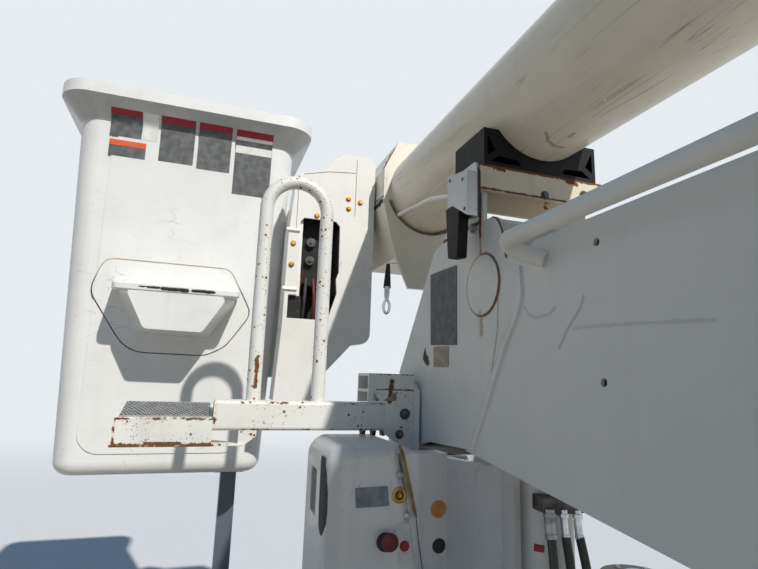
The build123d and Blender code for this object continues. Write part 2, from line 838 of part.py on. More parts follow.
# Elbow head: two plates that stay upright while the lower boom rises
with BuildPart() as elbow_head:
    head_outline = [
        (elbow_x - elbow_radius, elbow_low_z),
        (elbow_x + elbow_radius, elbow_low_z),
        (elbow_x + elbow_radius, elbow_high_z),
        (elbow_x - elbow_radius, elbow_high_z),
    ]
    plate_inside = elbow_half_width - elbow_plate
    for near in (-elbow_half_width, plate_inside):
        side_slab(head_outline, near, near + elbow_plate)
        cross_disc(elbow_x, elbow_low_z, elbow_radius, near, near + elbow_plate)
        cross_disc(elbow_x, elbow_high_z, elbow_radius, near, near + elbow_plate)
    web_outline = [
        (elbow_x + 30, elbow_low_z + 60),
        (elbow_x + 45, elbow_low_z + 60),
        (elbow_x + 45, elbow_high_z - 60),
        (elbow_x + 30, elbow_high_z - 60),
    ]
    side_slab(web_outline, -plate_inside, plate_inside)
    for height in (elbow_low_z, elbow_high_z):
        cross_disc(elbow_x, height, elbow_pin_radius + running_gap, -elbow_half_width, elbow_half_width, mode=Mode.SUBTRACT)
save(elbow_head, "elbow_head")

for pin_name, height in (("elbow_pin_low", elbow_low_z), ("elbow_pin_high", elbow_high_z)):
    with BuildPart() as elbow_pin:
        cross_disc(elbow_x, height, elbow_pin_radius, -ear_outside - 6, ear_outside + 6)
    save(elbow_pin, pin_name)

# Upper boom: a round tube, held at its front by a socket with two ears
with BuildPart() as upper_boom:
    with BuildSketch(Plane.YZ.offset(boom_rear)) as tube_section:
        with Locations((0, boom_axis_z)):
            Circle(boom_radius)
            Circle(boom_bore, mode=Mode.SUBTRACT)
    extrude(tube_section.sketch, amount=boom_front - boom_rear)
save(upper_boom, "upper_boom")

socket_rear = 2780
socket_wall = 12
with BuildPart() as boom_socket:
    with BuildSketch(Plane.YZ.offset(socket_rear)) as socket_section:
        with Locations((0, boom_axis_z)):
            Circle(boom_radius + socket_wall)
            Circle(boom_radius, mode=Mode.SUBTRACT)
    extrude(socket_section.sketch, amount=boom_front - socket_rear)
    with BuildSketch(Plane.YZ.offset(boom_front)) as socket_end:
        with Locations((0, boom_axis_z)):
            Circle(boom_radius + socket_wall)
    extrude(socket_end.sketch, amount=20)
    ear_outline = [
        (socket_rear + 60, boom_axis_z - boom_radius - 4),
        (elbow_x - 40, elbow_high_z - 58),
        (elbow_x + 50, elbow_high_z + 50),
        (boom_front + 20, boom_axis_z + 60),
        (boom_front, boom_axis_z + 60),
        (boom_front, boom_axis_z - boom_radius - 4),
    ]
    for near in (-ear_outside, ear_inside):
        side_slab(ear_outline, near, near + ear_plate)
        cross_disc(elbow_x, elbow_high_z, elbow_radius, near, near + ear_plate)
    cross_disc(elbow_x, elbow_high_z, elbow_pin_radius + running_gap, -ear_outside, ear_outside, mode=Mode.SUBTRACT)
    with BuildSketch(Plane.YZ.offset(socket_rear)) as bore_section:
        with Locations((0, boom_axis_z)):
            Circle(boom_radius)
    extrude(bore_section.sketch, amount=boom_front - socket_rear, mode=Mode.SUBTRACT)
save(boom_socket, "boom_socket")

# Tip collar: a faceted block round the tube's end, with a trough in its lower front, a lug
# below and the levelling shaft on its side
collar_front = -440
collar_rear = -690
collar_radius = 150
collar_bottom = 1521
collar_facets = [
    (collar_radius, 1690),
    (collar_radius, 1800),
    (105, 1895),
    (-105, 1895),
    (-collar_radius, 1800),
    (-collar_radius, 1690),
    (-128, 1600),
    (-104, collar_bottom),
    (104, collar_bottom),
    (128, 1600),
]
trough_length = 80
trough_top = 1700
trough_gap = 12
lug_foot = 1428
level_x = -600
level_z = 1620
level_radius = 40
shaft_start = -116
shaft_end = -185
with BuildPart() as tip_collar:
    with BuildSketch(Plane.YZ.offset(collar_rear)) as collar_section:
        with BuildLine():
            Polyline(*collar_facets, close=True)
        make_face()
    extrude(collar_section.sketch, amount=collar_front - collar_rear)
    with BuildSketch(Plane.YZ.offset(collar_front - 14)) as lug_section:
        with BuildLine():
            Polyline((-104, collar_bottom), (-62, lug_foot), (62, lug_foot), (104, collar_bottom), close=True)
        make_face()
    extrude(lug_section.sketch, amount=14)
    cross_disc(level_x, level_z, level_radius, shaft_end, shaft_start)
    with BuildSketch(Plane.YZ.offset(collar_front - trough_length)) as trough:
        with Locations((0, boom_axis_z)):
            Circle(boom_radius + trough_gap)
        with Locations((0, trough_top + boom_radius)):
            Rectangle(4 * boom_radius, 2 * boom_radius, mode=Mode.SUBTRACT)
    extrude(trough.sketch, amount=trough_length, mode=Mode.SUBTRACT)
    with BuildSketch(Plane.YZ.offset(boom_rear)) as tube_bore:
        with Locations((0, boom_axis_z)):
            Circle(boom_radius)
    extrude(tube_bore.sketch, amount=collar_front - boom_rear, mode=Mode.SUBTRACT)
save(tip_collar, "tip_collar")

# Bucket mount: a hollow moulded housing between the boom tip and the bucket, with a
# window at its front. Its front flange stands before the bucket's corner.
housing_gap = 6
housing_inner = -collar_radius - housing_gap
housing_outer = -385
housing_wall = 8
housing_front = -516
housing_flange = 84
housing_rear = -800
housing_bottom = 1087
dome_top = 1860
window_top = 1631
window_bottom = 1322
with BuildPart() as mount_housing:
    with BuildSketch(Plane.YZ.offset(housing_front - housing_flange)) as front_outline:
        with BuildLine():
            Polyline(
                (-190, dome_top),
                (-262, dome_top - 4),
                (-300, 1826),
                (-318, 1796),
                (-406, 1767),
                (-421, 1588),
                (-424, 1303),
                (-436, housing_bottom),
                (-300, housing_bottom),
                (-294, 1165),
                (-215, 1252),
                (-188, 1256),
            )
            RadiusArc((-188, 1256), (housing_inner, 1292), -34)
            Line((housing_inner, 1292), (housing_inner, dome_top - 34))
            RadiusArc((housing_inner, dome_top - 34), (-190, dome_top), -34)
        make_face()
    extrude(front_outline.sketch, amount=housing_flange)
    with BuildSketch(Plane.YZ.offset(housing_rear)) as rear_outline:
        with BuildLine():
            Polyline(
                (housing_inner, 1290),
                (housing_inner, dome_top - 60),
                (-230, dome_top - 20),
                (housing_outer, 1750),
                (housing_outer, housing_bottom),
                (-300, housing_bottom),
                (-294, 1165),
                close=True,
            )
        make_face()
    extrude(rear_outline.sketch, amount=housing_front - housing_flange - housing_rear)
    with BuildSketch(Plane.YZ.offset(housing_rear + housing_wall)) as housing_hollow:
        with BuildLine():
            Polyline(
                (housing_inner - housing_wall, 1300),
                (housing_inner - housing_wall, dome_top - 70),
                (-230, dome_top - 32),
                (housing_outer + housing_wall, 1738),
                (housing_outer + housing_wall, housing_bottom + housing_wall),
                (-308, housing_bottom + housing_wall),
                (-302, 1172),
                close=True,
            )
        make_face()
    hollow_depth = housing_front - housing_rear - 2 * housing_wall
    extrude(housing_hollow.sketch, amount=hollow_depth, mode=Mode.SUBTRACT)
    with BuildSketch(Plane.YZ.offset(housing_front - 2 * housing_wall)) as window:
        with BuildLine():
            Polyline(
                (-378, window_top),
                (-278, window_top),
                (-265, window_top - 14),
                (-262, 1472),
                (-270, 1449),
                (-266, 1406),
                (-291, window_bottom),
                (-412, window_bottom),
                (-412, 1391),
                (-386, 1393),
                (-388, window_top - 14),
                close=True,
            )
        make_face()
    extrude(window.sketch, amount=2 * housing_wall, mode=Mode.SUBTRACT)
    cross_disc(level_x, level_z, level_radius + 22, housing_inner - housing_wall - 28, housing_inner)
    cross_disc(level_x, level_z, level_radius + running_gap, housing_outer, housing_inner, mode=Mode.SUBTRACT)
save(mount_housing, "mount_housing")

# Bucket: a tapered shell with a flared rim, and a raised panel with the pocket's seam
bucket_top = bucket_bottom + bucket_height
rim_bottom = bucket_top - bucket_rim_height
flare_bottom = rim_bottom - bucket_flare
wall_slope = (bucket_mouth - bucket_foot) / 2 / (flare_bottom - bucket_bottom)
front_low = bucket_x + bucket_foot / 2
wall_angle = math.degrees(math.atan(wall_slope))
front_wall = Plane(
    (front_low, bucket_y, bucket_bottom),
    x_dir=(0, 1, 0),
    z_dir=(math.cos(math.radians(wall_angle)), 0, -math.sin(math.radians(wall_angle))),
)
seam_points = [
    (-238, 516),
    (-206, 616),
    (148, 616),
    (222, 480),
    (151, 373),
    (96, 344),
    (-99, 346),
    (-141, 372),
]
with BuildPart() as bucket_hollow:
    inner_levels = (
        (bucket_bottom + bucket_wall, bucket_foot - 2 * bucket_wall),
        (bucket_top, bucket_mouth - 2 * bucket_wall),
    )
    inner = []
    for height, width in inner_levels:
        with BuildSketch(Plane.XY.offset(height)) as level:
            with Locations((bucket_x, bucket_y)):
                RectangleRounded(width, width, bucket_corner - bucket_wall)
        inner.append(level.sketch)
    loft(inner)
    chamfer(bucket_hollow.faces().sort_by(Axis.Z)[0].edges(), hollow_chamfer)

with BuildPart() as bucket:
    levels = (
        (bucket_bottom, bucket_foot, bucket_corner),
        (flare_bottom, bucket_mouth, bucket_corner),
    )
    outer = []
    for height, width, corner in levels:
        with BuildSketch(Plane.XY.offset(height)) as level:
            with Locations((bucket_x, bucket_y)):
                RectangleRounded(width, width, corner)
        outer.append(level.sketch)
    loft(outer)
    fillet(bucket.faces().sort_by(Axis.Z)[0].edges(), bucket_fillet)
    with BuildSketch(Plane.XY.offset(flare_bottom)) as flare_low:
        with Locations((bucket_x, bucket_y)):
            RectangleRounded(bucket_mouth, bucket_mouth, bucket_corner)
    with BuildSketch(Plane.XY.offset(rim_bottom)) as flare_high:
        with Locations((bucket_x, bucket_y)):
            RectangleRounded(bucket_rim, bucket_rim, bucket_rim_corner)
    loft([flare_low.sketch, flare_high.sketch])
    with BuildSketch(Plane.XY.offset(rim_bottom)) as rim:
        with Locations((bucket_x, bucket_y)):
            RectangleRounded(bucket_rim, bucket_rim, bucket_rim_corner)
    extrude(rim.sketch, amount=bucket_rim_height)
    with BuildSketch(front_wall) as raised_panel:
        panel_low = bucket_fillet + panel_margin
        panel_high = flare_bottom - bucket_bottom - panel_margin
        panel_half = bucket_foot / 2 - bucket_corner
        with Locations((0, (panel_low + panel_high) / 2)):
            RectangleRounded(2 * panel_half, panel_high - panel_low, panel_corner)
    extrude(raised_panel.sketch, amount=panel_relief)
    with BuildSketch(front_wall.offset(panel_relief - 2)) as seam:
        with BuildLine():
            FilletPolyline(*seam_points, radius=36, close=True)
        make_face()
        offset(amount=-pocket_seam, mode=Mode.SUBTRACT)
    extrude(seam.sketch, amount=2, mode=Mode.SUBTRACT)
    add(bucket_hollow.part, mode=Mode.SUBTRACT)
save(bucket, "bucket")

# Bucket bracket: wedge-faced ribs between the housing and the bucket's tapered wall
wall_low_y = bucket_y + bucket_foot / 2
bracket_low = 1150
bracket_high = 1740
bracket_end = -754
bracket_width = 44
with BuildPart() as bucket_bracket:
    with BuildSketch(Plane.YZ.offset(bracket_end)) as bracket_section:
        with BuildLine():
            Polyline(
                (wall_low_y + wall_slope * (bracket_low - bucket_bottom), bracket_low),
                (housing_outer, bracket_low),
                (housing_outer, bracket_high),
                (wall_low_y + wall_slope * (bracket_high - bucket_bottom), bracket_high),
                close=True,
            )
        make_face()
    extrude(bracket_section.sketch, amount=-bracket_width)
save(bucket_bracket, "bucket_bracket")

# Pouch moulded on the bucket's front, tapered outward
with BuildPart() as bucket_pocket:
    with BuildSketch(front_wall.offset(panel_relief)) as pocket_base:
        with BuildLine():
            FilletPolyline((-178, 546), (186, 532), (100, 398), (-96, 400), radius=22, close=True)
        make_face()
    with BuildSketch(front_wall.offset(panel_relief + pocket_depth)) as pocket_face:
        with BuildLine():
            FilletPolyline((-129, 526), (146, 517), (80, 409), (-70, 411), radius=18, close=True)
        make_face()
    loft([pocket_base.sketch, pocket_face.sketch])
save(bucket_pocket, "bucket_pocket")

# Lift cylinder, made along its own line from foot to eye
stroke_x = cylinder_eye_x - cylinder_foot_x
stroke_z = cylinder_eye_z - cylinder_foot_z
closed_length = math.hypot(stroke_x, stroke_z)
along = Vector(stroke_x / closed_length, 0, stroke_z / closed_length)
foot = Vector(cylinder_foot_x, 0, cylinder_foot_z)
rod_clearance = 0.05
with BuildPart() as lift_barrel:
    with BuildSketch(Plane(foot + along * barrel_start, z_dir=along)):
        Circle(barrel_radius)
    extrude(amount=barrel_length - barrel_start)
    with BuildSketch(Plane(foot, z_dir=along)):
        Rectangle(2 * eye_half_width, 2 * eye_half_width)
    extrude(amount=barrel_start)
    cross_disc(cylinder_foot_x, cylinder_foot_z, eye_radius, -eye_half_width, eye_half_width)
    with BuildSketch(Plane(foot + along * (eye_radius + 10), z_dir=along)) as barrel_bore:
        Circle(rod_radius + rod_clearance)
    extrude(barrel_bore.sketch, amount=barrel_length, mode=Mode.SUBTRACT)
    cross_disc(
        cylinder_foot_x,
        cylinder_foot_z,
        cylinder_pin_radius + running_gap,
        -eye_half_width,
        eye_half_width,
        mode=Mode.SUBTRACT,
    )
save(lift_barrel, "lift_barrel")

with BuildPart() as lift_rod:
    with BuildSketch(Plane(foot + along * (eye_radius + 40), z_dir=along)):
        Circle(rod_radius)
    extrude(amount=closed_length - eye_radius - 40)
    cross_disc(cylinder_eye_x, cylinder_eye_z, eye_radius, -eye_half_width, eye_half_width)
save(lift_rod, "lift_rod")
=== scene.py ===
# %% [markdown]
# This notebook dresses a truck-mounted aerial lift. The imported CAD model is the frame: its
# pieces keep their size and place, and each step adds a finish to one of them, or a small
# piece that sits on them. Lengths of the real machine are in millimetres, and `mm` turns
# them into Blender's metres where a mesh needs them.

# %% The frame and its box
import bpy
import bmesh
import json
import math
import random
from mathutils import Matrix, Vector


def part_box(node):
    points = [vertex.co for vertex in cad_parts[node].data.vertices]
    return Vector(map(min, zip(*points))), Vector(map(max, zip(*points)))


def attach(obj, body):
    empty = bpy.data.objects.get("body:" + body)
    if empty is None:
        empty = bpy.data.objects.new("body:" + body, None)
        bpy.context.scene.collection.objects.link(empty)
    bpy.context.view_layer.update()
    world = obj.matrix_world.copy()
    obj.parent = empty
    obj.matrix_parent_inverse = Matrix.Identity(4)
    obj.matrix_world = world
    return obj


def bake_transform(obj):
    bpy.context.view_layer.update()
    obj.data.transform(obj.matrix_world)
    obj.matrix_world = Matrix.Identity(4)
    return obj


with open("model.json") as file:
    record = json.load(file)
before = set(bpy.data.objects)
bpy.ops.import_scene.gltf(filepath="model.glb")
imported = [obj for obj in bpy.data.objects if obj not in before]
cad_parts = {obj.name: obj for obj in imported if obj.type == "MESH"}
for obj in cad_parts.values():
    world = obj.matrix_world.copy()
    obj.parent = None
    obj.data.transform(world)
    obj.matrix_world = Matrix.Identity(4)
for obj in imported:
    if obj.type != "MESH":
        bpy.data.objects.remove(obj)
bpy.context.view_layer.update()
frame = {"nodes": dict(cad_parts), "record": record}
mm = 0.001


def at(x, y, z):
    """A point of the machine, given in millimetres."""
    return Vector((x, y, z)) * mm


# %% [markdown]
# The camera stands low beside the machine and looks back along the booms, a little upwards.
# Its place and turn come from the vanishing points of the machine's straight edges. A
# matrix of its three directions sets them at once, which is clearer than three angles.

# %% Camera
camera_place = Vector((1.0, -0.636, 1.15))
camera_right = Vector((0.32117, 0.94649, 0.03167))
camera_up = Vector((0.16238, -0.08798, 0.98280))
camera_back = camera_right.cross(camera_up)
focal_pixels = 520
picture_width = 758
sensor_width = 36

camera_data = bpy.data.cameras.new("camera")
camera_data.sensor_width = sensor_width
camera_data.lens = sensor_width * focal_pixels / picture_width
camera_data.clip_start = 0.02
camera = bpy.data.objects.new("camera", camera_data)
bpy.context.scene.collection.objects.link(camera)
turn = Matrix((camera_right, camera_up, camera_back)).transposed()
camera.matrix_world = Matrix.Translation(camera_place) @ turn.to_4x4()
bpy.context.scene.camera = camera
print("lens:", round(camera_data.lens, 2), "mm")

# %% [markdown]
# Every finish is a small program of nodes. Writing the sums as Python keeps them readable:
# `Signal` stands for one output, and `a * b + 0.2` adds the Math nodes for it. `NodeTree`
# makes any other node with one method, which sets it up before it links its values. The
# world is such a tree too, and `Finish` is one that belongs to a material.

# %% Shader sums
class Signal:
    """One output of a node, which can be added, scaled and compared."""

    def __init__(self, owner, socket):
        self.owner = owner
        self.socket = socket

    def maths(self, operation, first, second):
        return self.owner.node("ShaderNodeMath", {"operation": operation}, {0: first, 1: second})

    def __add__(self, other):
        return self.maths("ADD", self, other)

    def __sub__(self, other):
        return self.maths("SUBTRACT", self, other)

    def __rsub__(self, other):
        return self.maths("SUBTRACT", other, self)

    def __mul__(self, other):
        return self.maths("MULTIPLY", self, other)

    def __truediv__(self, other):
        return self.maths("DIVIDE", self, other)

    __radd__ = __add__
    __rmul__ = __mul__

    def least(self, other):
        return self.maths("MINIMUM", self, other)

    def most(self, other):
        return self.maths("MAXIMUM", self, other)

    def size(self):
        return self.owner.node("ShaderNodeMath", {"operation": "ABSOLUTE"}, {0: self})

    def step(self, low, high):
        """0 below low, 1 above high, and smooth between. low may be the larger."""
        values = {"Value": self, "From Min": low, "From Max": high}
        return self.owner.node("ShaderNodeMapRange", {"interpolation_type": "SMOOTHSTEP"}, values)


class NodeTree:
    """A tree of shader nodes while it is being filled."""

    def __init__(self, tree):
        self.tree = tree

    def node(self, kind, settings, values, output=0):
        made = self.tree.nodes.new(kind)
        for name, value in settings.items():
            setattr(made, name, value)
        for socket, value in values.items():
            self.feed(made.inputs[socket], value)
        return Signal(self, made.outputs[output]) if made.outputs else None

    def feed(self, socket, value):
        if isinstance(value, Signal):
            self.tree.links.new(value.socket, socket)
        else:
            socket.default_value = value

    def seeing(self):
        """1 for the rays that see the backdrop: the camera's, and those off gloss or through glass."""
        camera_ray = self.node("ShaderNodeLightPath", {}, {}, "Is Camera Ray")
        glossy_ray = self.node("ShaderNodeLightPath", {}, {}, "Is Glossy Ray")
        glass_ray = self.node("ShaderNodeLightPath", {}, {}, "Is Transmission Ray")
        return camera_ray.most(glossy_ray).most(glass_ray)


class Finish(NodeTree):
    """A material while it is being made."""

    def __init__(self, name):
        self.material = bpy.data.materials.new(name)
        self.material.use_nodes = True
        super().__init__(self.material.node_tree)
        self.shader = self.tree.nodes["Principled BSDF"]
        self.place = self.node("ShaderNodeTexCoord", {}, {}, "Object")

    def set(self, socket, value):
        self.feed(self.shader.inputs[socket], value)

    def vector(self, operation, first, second, output=0):
        values = {0: first, 1: second}
        return self.node("ShaderNodeVectorMath", {"operation": operation}, values, output)

    def along(self, stretch):
        """The place on the surface, in metres, stretched along each axis."""
        return self.vector("MULTIPLY", self.place, stretch)

    def noise(self, scale, detail=4, roughness=0.55, stretch=(1, 1, 1)):
        values = {"Vector": self.along(stretch), "Scale": scale, "Detail": detail, "Roughness": roughness}
        return self.node("ShaderNodeTexNoise", {}, values)

    def cells(self, scale, stretch=(1, 1, 1), feature="F1"):
        values = {"Vector": self.along(stretch), "Scale": scale}
        return self.node("ShaderNodeTexVoronoi", {"feature": feature}, values)

    def axis(self, letter):
        """The place along one axis, in millimetres."""
        values = {"Vector": self.place}
        return self.node("ShaderNodeSeparateXYZ", {}, values, "XYZ".index(letter)) * 1000

    def facing(self, letter):
        """How far the surface looks along one axis, from -1 to 1."""
        normal = self.node("ShaderNodeNewGeometry", {}, {}, "Normal")
        return self.node("ShaderNodeSeparateXYZ", {}, {"Vector": normal}, "XYZ".index(letter))

    def from_line(self, start, end):
        """The distance in millimetres from the straight line between two points."""
        run = at(*end) - at(*start)
        reach = self.vector("SUBTRACT", self.place, tuple(at(*start)))
        share = self.vector("DOT_PRODUCT", reach, tuple(run / run.length_squared), "Value")
        share = share.most(0.0).least(1.0)
        foot = self.node("ShaderNodeVectorMath", {"operation": "SCALE"}, {0: tuple(run), "Scale": share})
        gap = self.vector("SUBTRACT", reach, foot)
        return self.vector("LENGTH", gap, (0, 0, 0), "Value") * 1000

    def mix(self, under, over, share):
        """Two colours, with the second laid over the first where share is 1."""
        settings = {"data_type": "RGBA", "clamp_factor": True}
        return self.node("ShaderNodeMix", settings, {0: share, 6: under, 7: over}, 2)

    def bump(self, height, distance, strength=1.0):
        """Surface relief from a height of 0 to 1, over a distance in millimetres."""
        values = {"Height": height, "Distance": distance * mm, "Strength": strength}
        self.set("Normal", self.node("ShaderNodeBump", {}, values))


def colour(red, green, blue):
    """A colour given as it looks on a screen, from 0 to 255."""
    return tuple((level / 255) ** 2.2 for level in (red, green, blue)) + (1,)


print("shader helpers ready")

# %% [markdown]
# The light comes from above, in front of the machine and a little from its left, so faces
# that look forward are bright, the band under the bucket's rim is dark, and the booms'
# right sides stay in soft shade. One wide sun gives that, and a dim blue world fills the
# shade; painted shade in the bucket's finish deepens the band under the rim. The camera,
# gloss and glass see a pale backdrop instead of that world, so the background is light and
# the whites don't clip.

# %% Light and background
scene = bpy.context.scene
scene.view_settings.view_transform = "Standard"

sun_from = Vector((0.68, 0.22, 0.67))
sun_data = bpy.data.lights.new("sun", "SUN")
sun_data.energy = 3.45
sun_data.angle = math.radians(1)
sun_data.color = (1.0, 0.965, 0.91)
sun = bpy.data.objects.new("sun", sun_data)
sun.rotation_mode = "QUATERNION"
sun.rotation_quaternion = sun_from.to_track_quat("Z", "Y")
scene.collection.objects.link(sun)

fill_colour = (0.36, 0.62, 1.0, 1)
fill_strength = 0.23
backdrop_colour = (0.80, 0.84, 0.88, 1)
world = bpy.data.worlds.new("studio")
world.use_nodes = True
world.node_tree.nodes.clear()
scene.world = world
sky = NodeTree(world.node_tree)
fill = sky.node("ShaderNodeBackground", {}, {"Color": fill_colour, "Strength": fill_strength})
backdrop = sky.node("ShaderNodeBackground", {}, {"Color": backdrop_colour})
chosen = sky.node("ShaderNodeMixShader", {}, {0: sky.seeing(), 1: fill, 2: backdrop})
sky.node("ShaderNodeOutputWorld", {}, {"Surface": chosen})
print("sun", sun_data.energy, "fill", fill_strength)

# %% [markdown]
# Rust, dirt and scratches come back on nearly every painted piece. Each is one function
# that gives a mask from 0 to 1, so a finish can say what it wears and how much. Rust
# breaks out in ragged spots, which is a fine noise cut off by a coarse one.

# %% Wear
rust_dark = colour(60, 39, 28)
rust_light = colour(136, 88, 52)
rust_stain = colour(200, 156, 98)
dirt_colour = colour(120, 106, 84)
mark_and_shade_colour = colour(84, 86, 88)


def rust_spots(finish, amount, scale=55):
    """Ragged spots where paint has broken: amount 0 gives none and 1 covers most."""
    coarse = finish.noise(scale * 0.18, 3)
    fine = finish.noise(scale, 6, 0.7)
    level = fine * 0.6 + coarse * 0.4
    return level.step(0.72 - 0.3 * amount, 0.75 - 0.3 * amount)


def rust_colour(finish):
    return finish.mix(rust_dark, rust_light, finish.noise(140, 4))


def grime(finish, amount, scale=4):
    """Soft clouds of dirt, in patches and thin runs that point down."""
    patches = finish.noise(scale, 5, 0.6).step(0.45, 0.85)
    runs = finish.noise(scale * 7, 3, 0.5, (1, 1, 0.08)).step(0.5, 0.85)
    return (patches * 0.65 + runs * 0.35) * amount


def scratches(finish, scale, stretch):
    """Thin broken lines along the axis that is squeezed."""
    lines = finish.noise(scale, 2, 0.4, stretch)
    cut = (lines - 0.5).size().step(0.012, 0.0)
    gaps = finish.noise(scale * 0.12, 2).step(0.52, 0.66)
    return cut * gaps


def near_line(finish, start, end, width, ragged=14):
    """1 close to the line between two points, 0 away from it, with a ragged edge."""
    gap = finish.from_line(start, end) + (finish.noise(90, 5, 0.75) - 0.5) * ragged
    return gap.step(width, width * 0.3)


def near_path(finish, points, width, ragged=14):
    """near_line along a path of several points."""
    mask = near_line(finish, points[0], points[1], width, ragged)
    for start, end in zip(points[1:], points[2:]):
        mask = mask.most(near_line(finish, start, end, width, ragged))
    return mask


def ring_round(finish, centre, radius, width, ragged=10):
    """1 on a circle round a line along Y through the centre, such as a weld round a boss."""
    x, z = centre
    gap = (finish.from_line((x, -400, z), (x, 400, z)) - radius).size()
    gap = gap + (finish.noise(90, 5, 0.75) - 0.5) * ragged
    return gap.step(width, width * 0.3)


print("wear masks ready")

# %% [markdown]
# Most of the machine is steel in white gloss paint that has stood outside for years: the
# colour drifts a little, dirt gathers low down, and rust breaks through in spots. The same
# function paints the chassis pieces, with other colours and more or less wear.

# %% Painted steel
def painted(name, base, shade, rust=0.3, dirt=0.25, gloss=0.32, bare=None, marks=None):
    """Paint with wear. bare gives a mask of more rust, and marks one of dark marks: rubbing, and painted shade on
    some pieces.
    """
    finish = Finish(name)
    tone = finish.mix(base, shade, finish.noise(2.2, 5).step(0.3, 0.75))
    tone = finish.mix(tone, dirt_colour, grime(finish, dirt))
    if marks:
        tone = finish.mix(tone, mark_and_shade_colour, marks(finish))
    spots = rust_spots(finish, rust)
    halo = rust_spots(finish, rust + 0.08) - spots
    if bare:
        worn = bare(finish)
        spots = spots.most(worn.step(0.5, 0.64))
        halo = halo.most(worn)
    tone = finish.mix(tone, rust_stain, halo * 0.6)
    tone = finish.mix(tone, rust_colour(finish), spots)
    finish.set("Base Color", tone)
    finish.set("Roughness", finish.noise(9, 4) * 0.16 + gloss + spots * 0.4)
    finish.bump(finish.noise(160, 3) * 0.12 + spots * 0.6, 0.5, 0.35)
    return finish.material


finishes = {
    "white_paint": painted("white_paint", colour(236, 236, 232), colour(226, 227, 222), 0.1, 0.22),
    "grey_paint": painted("grey_paint", colour(98, 107, 118), colour(86, 94, 104), 0.1, 0.25),
    "frame_paint": painted("frame_paint", colour(66, 68, 70), colour(52, 54, 56), 0.2, 0.35, 0.5),
    "dark_paint": painted("dark_paint", colour(44, 45, 46), colour(34, 35, 36), 0.15, 0.3, 0.42),
}
print("painted:", ", ".join(finishes))

# %% [markdown]
# The bucket and the covers are moulded fibreglass with a smooth white skin. It scuffs grey
# instead of rusting, so its wear is fine scratches and a faint cloudiness. The round boom
# is an older, creamier skin, with long scratches along it.

# %% Moulded skins
def moulded(name, base, shade, scuff_stretch, scuff, gloss=0.3, marks=None, dirt=0.16):
    finish = Finish(name)
    tone = finish.mix(base, shade, finish.noise(3.0, 5).step(0.35, 0.75))
    lines = scratches(finish, 30, scuff_stretch).most(scratches(finish, 55, scuff_stretch) * 0.7)
    rubbed = finish.noise(6, 5, 0.65).step(0.56, 0.78)
    tone = finish.mix(tone, colour(150, 146, 136), (lines * 0.55 + rubbed * 0.14) * scuff)
    tone = finish.mix(tone, dirt_colour, grime(finish, dirt))
    if marks:
        tone = finish.mix(tone, mark_and_shade_colour, marks(finish))
    finish.set("Base Color", tone)
    finish.set("Roughness", finish.noise(14, 3) * 0.12 + gloss + rubbed * 0.12)
    finish.set("Coat Weight", 0.25)
    finish.bump(finish.noise(90, 2) * 0.3 + lines * 0.5, 0.3, 0.25)
    return finish.material


finishes["white_plastic"] = moulded(
    "white_plastic", colour(240, 239, 234), colour(232, 231, 225), (1, 1, 0.15), 0.7
)
finishes["white_fibreglass"] = moulded(
    "white_fibreglass", colour(240, 240, 238), colour(230, 231, 229), (1, 0.2, 1), 0.6
)
finishes["cream_fibreglass"] = moulded(
    "cream_fibreglass", colour(232, 228, 216), colour(222, 216, 202), (0.04, 1, 1), 1.0, 0.36
)
print("moulded:", len(finishes))

# %% [markdown]
# Bare metals, rubber and black plastic make up the rest. Steel differs by how rough and how
# dark it is, so one function takes those, and the soft blacks take another.

# %% Metals, rubber and plastic
def bare_metal(name, base, roughness, tarnish, metallic=1.0, rusty=None):
    """Steel with some tarnish. rusty gives a mask of where it has rusted through."""
    finish = Finish(name)
    stain = finish.noise(12, 5, 0.6).step(0.45, 0.8) * tarnish
    if rusty:
        stain = stain.most(rusty(finish))
    finish.set("Base Color", finish.mix(base, rust_dark, stain))
    finish.set("Metallic", metallic - stain * 0.8)
    finish.set("Roughness", finish.noise(60, 3) * 0.15 + roughness + stain * 0.3)
    finish.bump(finish.noise(120, 3), 0.15, 0.3)
    return finish.material


def black_soft(name, base, roughness, dust):
    finish = Finish(name)
    settled = finish.facing("Z").step(0.2, 1.0) * 0.5 + finish.noise(10, 5).step(0.5, 0.8) * 0.5
    finish.set("Base Color", finish.mix(base, colour(112, 106, 94), settled * dust))
    finish.set("Roughness", finish.noise(40, 3) * 0.15 + roughness)
    finish.set("Specular IOR Level", 0.25)
    finish.bump(finish.noise(220, 3), 0.3, 0.4)
    return finish.material


finishes["gear_steel"] = bare_metal("gear_steel", colour(96, 92, 88), 0.45, 0.5)
finishes["pin_steel"] = bare_metal("pin_steel", colour(150, 148, 145), 0.35, 0.35)
finishes["zinc_plate"] = bare_metal("zinc_plate", colour(176, 180, 184), 0.32, 0.15)
finishes["rod_chrome"] = bare_metal("rod_chrome", colour(205, 208, 210), 0.1, 0.03)
finishes["black_polymer"] = black_soft("black_polymer", colour(12, 12, 13), 0.5, 0.1)
finishes["pad_rubber"] = black_soft("pad_rubber", colour(26, 26, 27), 0.6, 0.4)
print("finishes:", len(finishes))

# %% [markdown]
# Some pieces have wear in known places. A mask that is 1 near a line or a ring puts rust on
# welds and edges, so it follows the shape instead of lying over it at random. Coordinates
# are the machine's own millimetres. The boom's panel also has long scrapes, which are faint
# dark marks, and a dent and a crease whose relief is painted as thin dark arcs of shade.

# %% Wear of the boom's root and panel, and painted shade of its dent
root_side = -130
panel_side = -136


